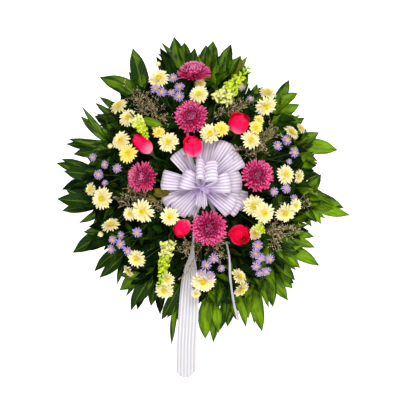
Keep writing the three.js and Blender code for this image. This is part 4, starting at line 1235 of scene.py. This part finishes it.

# Leafy branches, each as shoots: where the shoot ends, and its leaves as [tip x, tip z, width, share of the way along
# the shoot that the leaf grows from]. A branch's tone is the range of its leaves' tones and paints the light: lowest
# on the left side, painted shade, and highest on the right side, painted light. Loose leaves with the near-black
# finish are painted shade.
leafyBranches = {
    "branch_top": {
        "tone": [0.1, 0.65], "level": 0,
        "loose": [
            [[-58, 190, 90], [-98, 286, 70], 44, "darkLeaf", 0.5],
            [[-66, 178, 85], [-120, 264, 62], 50, "darkLeaf", 0.5],
            [[-34, 190, 90], [-70, 306, 66], 42, "darkLeaf", 0.6],
            [[-20, 80, 98], [-98, 136, 100], 38, "darkLeaf", 0.3],
            [[30, 70, 98], [94, 122, 100], 38, "darkLeaf", 0.3],
            [[-78, 240, 84], [-106, 352, 60], 30, "darkLeaf", 0.4],
            [[-94, 244, 84], [-115, 330, 62], 22, "darkLeaf", 0.3],
        ],
        "shoots": [
            [[-45, 290], [[-70, 380, 36, 1], [-44, 366, 34, 1], [-103, 366, 17, 0.8], [-115, 341, 14, 0.66],
                [-82, 339, 18, 0.9], [-18, 352, 30, 0.8]]],
            [[22, 290], [[28, 370, 32, 0.95], [10, 360, 32, 0.9], [-8, 338, 26, 0.7], [52, 338, 26, 0.8]]],
        ],
    },
    "branch_top_right": {
        "tone": [0.25, 0.85], "level": 1,
        "loose": [
            [[104, 176, 80], [152, 254, 64], 42, "leaf", 0.3], [[66, 216, 80], [108, 308, 60], 36, "leaf", 0.3],
            [[98, 196, 90], [146, 252, 70], 28, "leaf", 0.4], [[150, 180, 80], [214, 232, 70], 30, "leaf", 0.5],
            [[74, 270, 60], [96, 334, 56], 20, "olive", 0.1], [[52, 280, 70], [66, 350, 52], 22, "leaf", 0.4],
        ],
        "shoots": [
            [[50, 265], [[73, 361, 34, 0.95], [97, 331, 28, 0.85], [36, 322, 26, 0.7], [114, 331, 17, 0.95],
                [126, 290, 14, 1]]],
            [[110, 210], [[139, 262, 18, 0.95], [147, 246, 14, 1], [84, 268, 24, 0.6]]],
        ],
    },
    "branch_right_upper": {
        "tone": [0.3, 0.95], "level": 2,
        "shoots": [
            [[180, 195], [[218, 271, 28, 0.95], [240, 238, 27, 1], [244, 209, 28, 0.85]]],
            [[190, 140], [[257, 176, 24, 1], [246, 184, 14, 0.9], [214, 196, 20, 0.7], [236, 120, 26, 0.8]]],
        ],
    },
    "branch_right": {
        "tone": [0.35, 1.0], "level": 0, "loose": [[[196, 66, 64], [288, 56, 50], 30, "leaf", 0.5]],
        "shoots": [
            [[235, 105], [[341, 95, 36, 1], [315, 104, 34, 0.9], [294, 140, 32, 0.8]]],
            [[225, 45], [[291, 63, 26, 0.95], [281, 45, 18, 0.9], [299, 17, 15, 1], [262, 84, 20, 0.8]]],
        ],
    },
    "branch_right_middle": {
        "tone": [0.3, 0.95], "level": 1, "loose": [[[262, -2, 70], [356, -50, 48], 32, "leaf", 0.4]],
        "shoots": [
            [[265, -22], [[372, -68, 27, 0.9], [346, -40, 40, 0.95], [339, -67, 15, 1], [331, -72, 13, 0.9],
                [310, -76, 17, 0.84], [299, -91, 25, 0.76], [276, -98, 22, 0.66], [318, -38, 16, 0.95]]],
        ],
    },
    "branch_right_lower": {
        "tone": [0.3, 0.95], "level": 2,
        "shoots": [
            [[206, -107], [[281, -122, 22, 0.95], [283, -149, 24, 1], [238, -70, 24, 0.6], [262, -140, 24, 0.84]]],
            [[185, -150], [[294, -195, 31, 0.95], [246, -200, 30, 0.85], [236, -206, 16, 1], [204, -214, 26, 0.76]]],
        ],
    },
    "branch_foot_right": {
        "tone": [0.3, 0.95], "level": 0, "loose": [[[168, -140, 70], [234, -232, 54], 32, "leaf", 0.5]],
        "shoots": [
            [[175, -195], [[232, -240, 21, 1], [216, -283, 32, 0.85], [228, -252, 28, 0.95], [178, -300, 30, 0.9],
                [192, -264, 20, 0.9]]],
            [[135, -230], [[168, -303, 13, 1], [151, -361, 32, 0.9], [117, -328, 28, 0.8], [131, -341, 28, 0.8],
                [172, -262, 26, 0.9]]],
        ],
    },
    "branch_foot": {
        "tone": [0.2, 0.8], "level": 1,
        "shoots": [
            [[75, -255], [[110, -349, 22, 0.95], [86, -331, 22, 1], [64, -348, 30, 0.9], [46, -356, 24, 0.8]]],
            [[20, -270], [[28, -388, 26, 0.9], [8, -378, 34, 0.95], [42, -364, 22, 1], [-2, -344, 24, 0.8],
                [8, -320, 22, 0.95]]],
        ],
    },
    "branch_foot_left": {
        "tone": [-0.32, 0.34], "level": 2,
        "loose": [
            [[-82, -200, 70], [-105, -318, 54], 28, "darkLeaf", 0.3],
            [[-112, -190, 70], [-162, -306, 54], 32, "darkLeaf", 0.2],
        ],
        "shoots": [
            [[-55, -270], [[-76, -392, 15, 1], [-101, -330, 24, 0.8], [-88, -325, 16, 0.9], [-52, -346, 26, 0.95]]],
            [[-130, -210], [[-178, -308, 24, 1], [-172, -292, 40, 0.85], [-206, -256, 34, 0.9], [-191, -273, 15, 0.8],
                [-128, -296, 26, 0.9]]],
        ],
    },
    "branch_left_lower": {
        "tone": [-0.32, 0.34], "level": 0, "loose": [[[-188, -118, 70], [-292, -158, 54], 36, "darkLeaf", 0.3]],
        "shoots": [
            [[-180, -150], [[-213, -243, 16, 0.95], [-258, -226, 28, 0.9], [-271, -210, 28, 1],
                [-252, -178, 20, 0.85]]],
            [[-215, -100], [[-325, -163, 39, 0.9], [-276, -150, 36, 1], [-298, -110, 25, 1], [-280, -136, 22, 0.8]]],
        ],
    },
    "branch_left": {
        "tone": [-0.32, 0.34], "level": 1, "loose": [[[-246, 6, 70], [-352, -4, 50], 30, "darkLeaf", 0.2]],
        "shoots": [
            [[-250, -35], [[-309, -88, 19, 0.8], [-351, -57, 28, 0.95], [-338, -37, 15, 1], [-364, -27, 37, 0.9],
                [-342, -2, 38, 0.95], [-262, -92, 26, 0.6], [-296, -24, 26, 0.8]]],
            [[-262, 38], [[-366, 63, 25, 0.95], [-353, 73, 22, 1], [-346, 42, 32, 0.95], [-331, 18, 17, 0.9],
                [-318, 44, 24, 0.85]]],
        ],
    },
    "branch_left_upper": {
        "tone": [-0.32, 0.34], "level": 2,
        "loose": [
            [[-140, 150, 80], [-207, 242, 60], 48, "darkLeaf", 0.5],
            [[-188, 128, 70], [-270, 180, 58], 42, "leaf", 0.0], [[-200, 92, 70], [-288, 88, 66], 32, "leaf", -0.1],
            [[-215, 60, 70], [-292, 50, 62], 28, "leaf", 0.1], [[-146, 172, 158], [-97, 154, 166], 22, "leaf", 0.9],
            [[-125, -8, 130], [-75, -14, 150], 24, "olive", 0.4],
            [[-150, -18, 128], [-108, -34, 140], 22, "olive", 0.2],
        ],
        "shoots": [
            [[-225, 110], [[-341, 110, 26, 0.85], [-322, 84, 34, 0.85], [-335, 123, 20, 0.95], [-283, 150, 17, 0.9],
                [-304, 180, 22, 1], [-301, 205, 14, 0.95], [-296, 92, 24, 0.75]]],
            [[-190, 170], [[-268, 214, 17, 0.9], [-257, 228, 20, 1], [-265, 186, 16, 0.8], [-236, 200, 24, 0.9],
                [-206, 224, 26, 0.8]]],
            [[-140, 225], [[-257, 277, 41, 0.9], [-173, 350, 40, 1], [-183, 291, 26, 0.85]]],
        ],
    },
}


def dressAll(pieces, make):
    for name, spec in pieces.items():
        make(name, spec)
    print(f"{make.__name__}: {len(pieces)} pieces")


dressAll(chrysanthemums, mum)
dressAll(roses, rose)
dressAll(creamSprays, creamSpray)
dressAll(asterSprays, asterSpray)
dressAll(snapdragons, snapdragon)
dressAll(seaLavender, seaLavenderSpray)
dressAll(leafyBranches, leafyBranch)
ribbonBow("ribbon_bow")
dressAll(ribbonTails, ribbonTail)


# The holder's parts, which keep the frame's own meshes and only get a finish.
def plasticInputs(notes):
    grain = notes.wire.noise(notes.spot, 160, 3.0)
    cloud = notes.wire.noise(notes.spot, 9)
    return {
        "Base Color": cloud.mix((0.010, 0.055, 0.016), (0.020, 0.085, 0.028)),
        "Roughness": 0.42 + (grain - 0.5) * 0.2,
        "Normal": notes.wire.bump(grain, 0.15, 0.0004),
    }


def foamInputs(notes):
    wire = notes.wire
    pits = wire.node("ShaderNodeTexVoronoi", {}, {"Vector": notes.spot, "Scale": 420})
    crumbs = wire.noise(notes.spot, 230, 4.0, 0.7)
    wet = wire.noise(notes.spot, 14, 3.0)
    return {
        "Base Color": (crumbs * 0.7 + wet * 0.5 - 0.2).mix((0.006, 0.030, 0.006), (0.028, 0.095, 0.018)),
        "Roughness": 0.9 + (wet - 0.5) * 0.2,
        "Normal": wire.bump(pits * 0.5 + crumbs, 0.8, 0.0012),
    }


def steelInputs(notes):
    brushed = notes.wire.noise(notes.spot, 300, 2.0)
    return {
        "Base Color": brushed.mix((0.45, 0.46, 0.48), (0.62, 0.63, 0.65)),
        "Metallic": 1.0,
        "Roughness": 0.28 + (brushed - 0.5) * 0.25,
    }


def woodInputs(notes):
    wire = notes.wire
    spot = wire.node("ShaderNodeVectorMath", {"operation": "MULTIPLY"}, {0: notes.spot, 1: (600, 40, 600)})
    grain = wire.noise(spot, 1.0, 4.0)
    return {
        "Base Color": grain.mix((0.42, 0.27, 0.13), (0.66, 0.48, 0.27)),
        "Roughness": 0.65 + (grain - 0.5) * 0.2,
        "Normal": wire.bump(grain, 0.3, 0.0005),
    }


holder = {
    "foam_tray": plasticInputs, "foam_block": foamInputs, "hanging_ring": steelInputs, "bow_pick": woodInputs,
}
for node, dress in holder.items():
    addFinish(node + "_finish", dress)
    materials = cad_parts[node].data.materials
    materials.clear()
    materials.append(finishes[node + "_finish"])
print("holder finished")


# The stage: a pale floor that rises behind into a backdrop, soft light, and a frontal camera. All
# in metres; the lamps stand and the camera looks from the wreath's middle.
stageShape = {"floor": -0.74, "front": -10, "back": 8.8, "rise": 6, "wide": 10, "bend": 1, "glow": 0.85}
lamps = {
    "key": {"at": [0.6, -2.6, 1.5], "size": 1.3, "power": 80},
    "fill": {"at": [-1.7, -2.6, 0.1], "size": 1.6, "power": 14},
}
view = {"distance": 8, "lens": 290, "skyStrength": 0.2}
middle = centre + place(-5, -30, 130) * mm


def backdrop():
    low, back, bend = stageShape["floor"], stageShape["back"], stageShape["bend"]
    angles = np.linspace(0, math.pi / 2, 13)
    corner = [(back + bend * math.sin(a), low + bend * (1 - math.cos(a))) for a in angles]
    section = [(stageShape["front"], low), *corner, (back + bend, low + stageShape["rise"] + 1)]
    points, faces = [], []
    for y, z in section:
        points += [(-stageShape["wide"], y, z), (stageShape["wide"], y, z)]
    for i in range(len(section) - 1):
        faces.append((2 * i, 2 * i + 1, 2 * i + 3, 2 * i + 2))
    mesh = bpy.data.meshes.new("backdrop")
    mesh.from_pydata(points, [], faces)
    mesh.polygons.foreach_set("use_smooth", [True] * len(faces))
    made = bpy.data.materials.new("paper")
    made.use_nodes = True
    surface = made.node_tree.nodes["Principled BSDF"]
    surface.inputs["Base Color"].default_value = (0.93, 0.93, 0.93, 1)
    surface.inputs["Roughness"].default_value = 0.9
    surface.inputs["Emission Color"].default_value = (1, 1, 1, 1)
    surface.inputs["Emission Strength"].default_value = stageShape["glow"]
    mesh.materials.append(made)
    piece = bpy.data.objects.new("backdrop", mesh)
    bpy.context.scene.collection.objects.link(piece)


def areaLight(name, spec):
    light = bpy.data.lights.new(name, "AREA")
    light.energy, light.size = spec["power"], spec["size"]
    lamp = bpy.data.objects.new(name, light)
    lamp.location = middle + spec["at"]
    way = Vector(middle) - Vector(middle + spec["at"])
    lamp.rotation_euler = way.to_track_quat("-Z", "Y").to_euler()
    bpy.context.scene.collection.objects.link(lamp)


backdrop()
for name, spec in lamps.items():
    areaLight(name, spec)
world = bpy.data.worlds.new("soft")
bpy.context.scene.world = world
world.use_nodes = True
sky = world.node_tree.nodes["Background"]
sky.inputs["Color"].default_value = (1, 1, 1, 1)
sky.inputs["Strength"].default_value = view["skyStrength"]

camera = bpy.data.cameras.new("camera")
camera.lens = view["lens"]
watcher = bpy.data.objects.new("camera", camera)
watcher.location = middle + [0, -view["distance"], 0]
watcher.rotation_euler = (math.pi / 2, 0, 0)
bpy.context.scene.collection.objects.link(watcher)
bpy.context.scene.camera = watcher
bpy.context.scene.view_settings.view_transform = "Standard"
print("stage set")
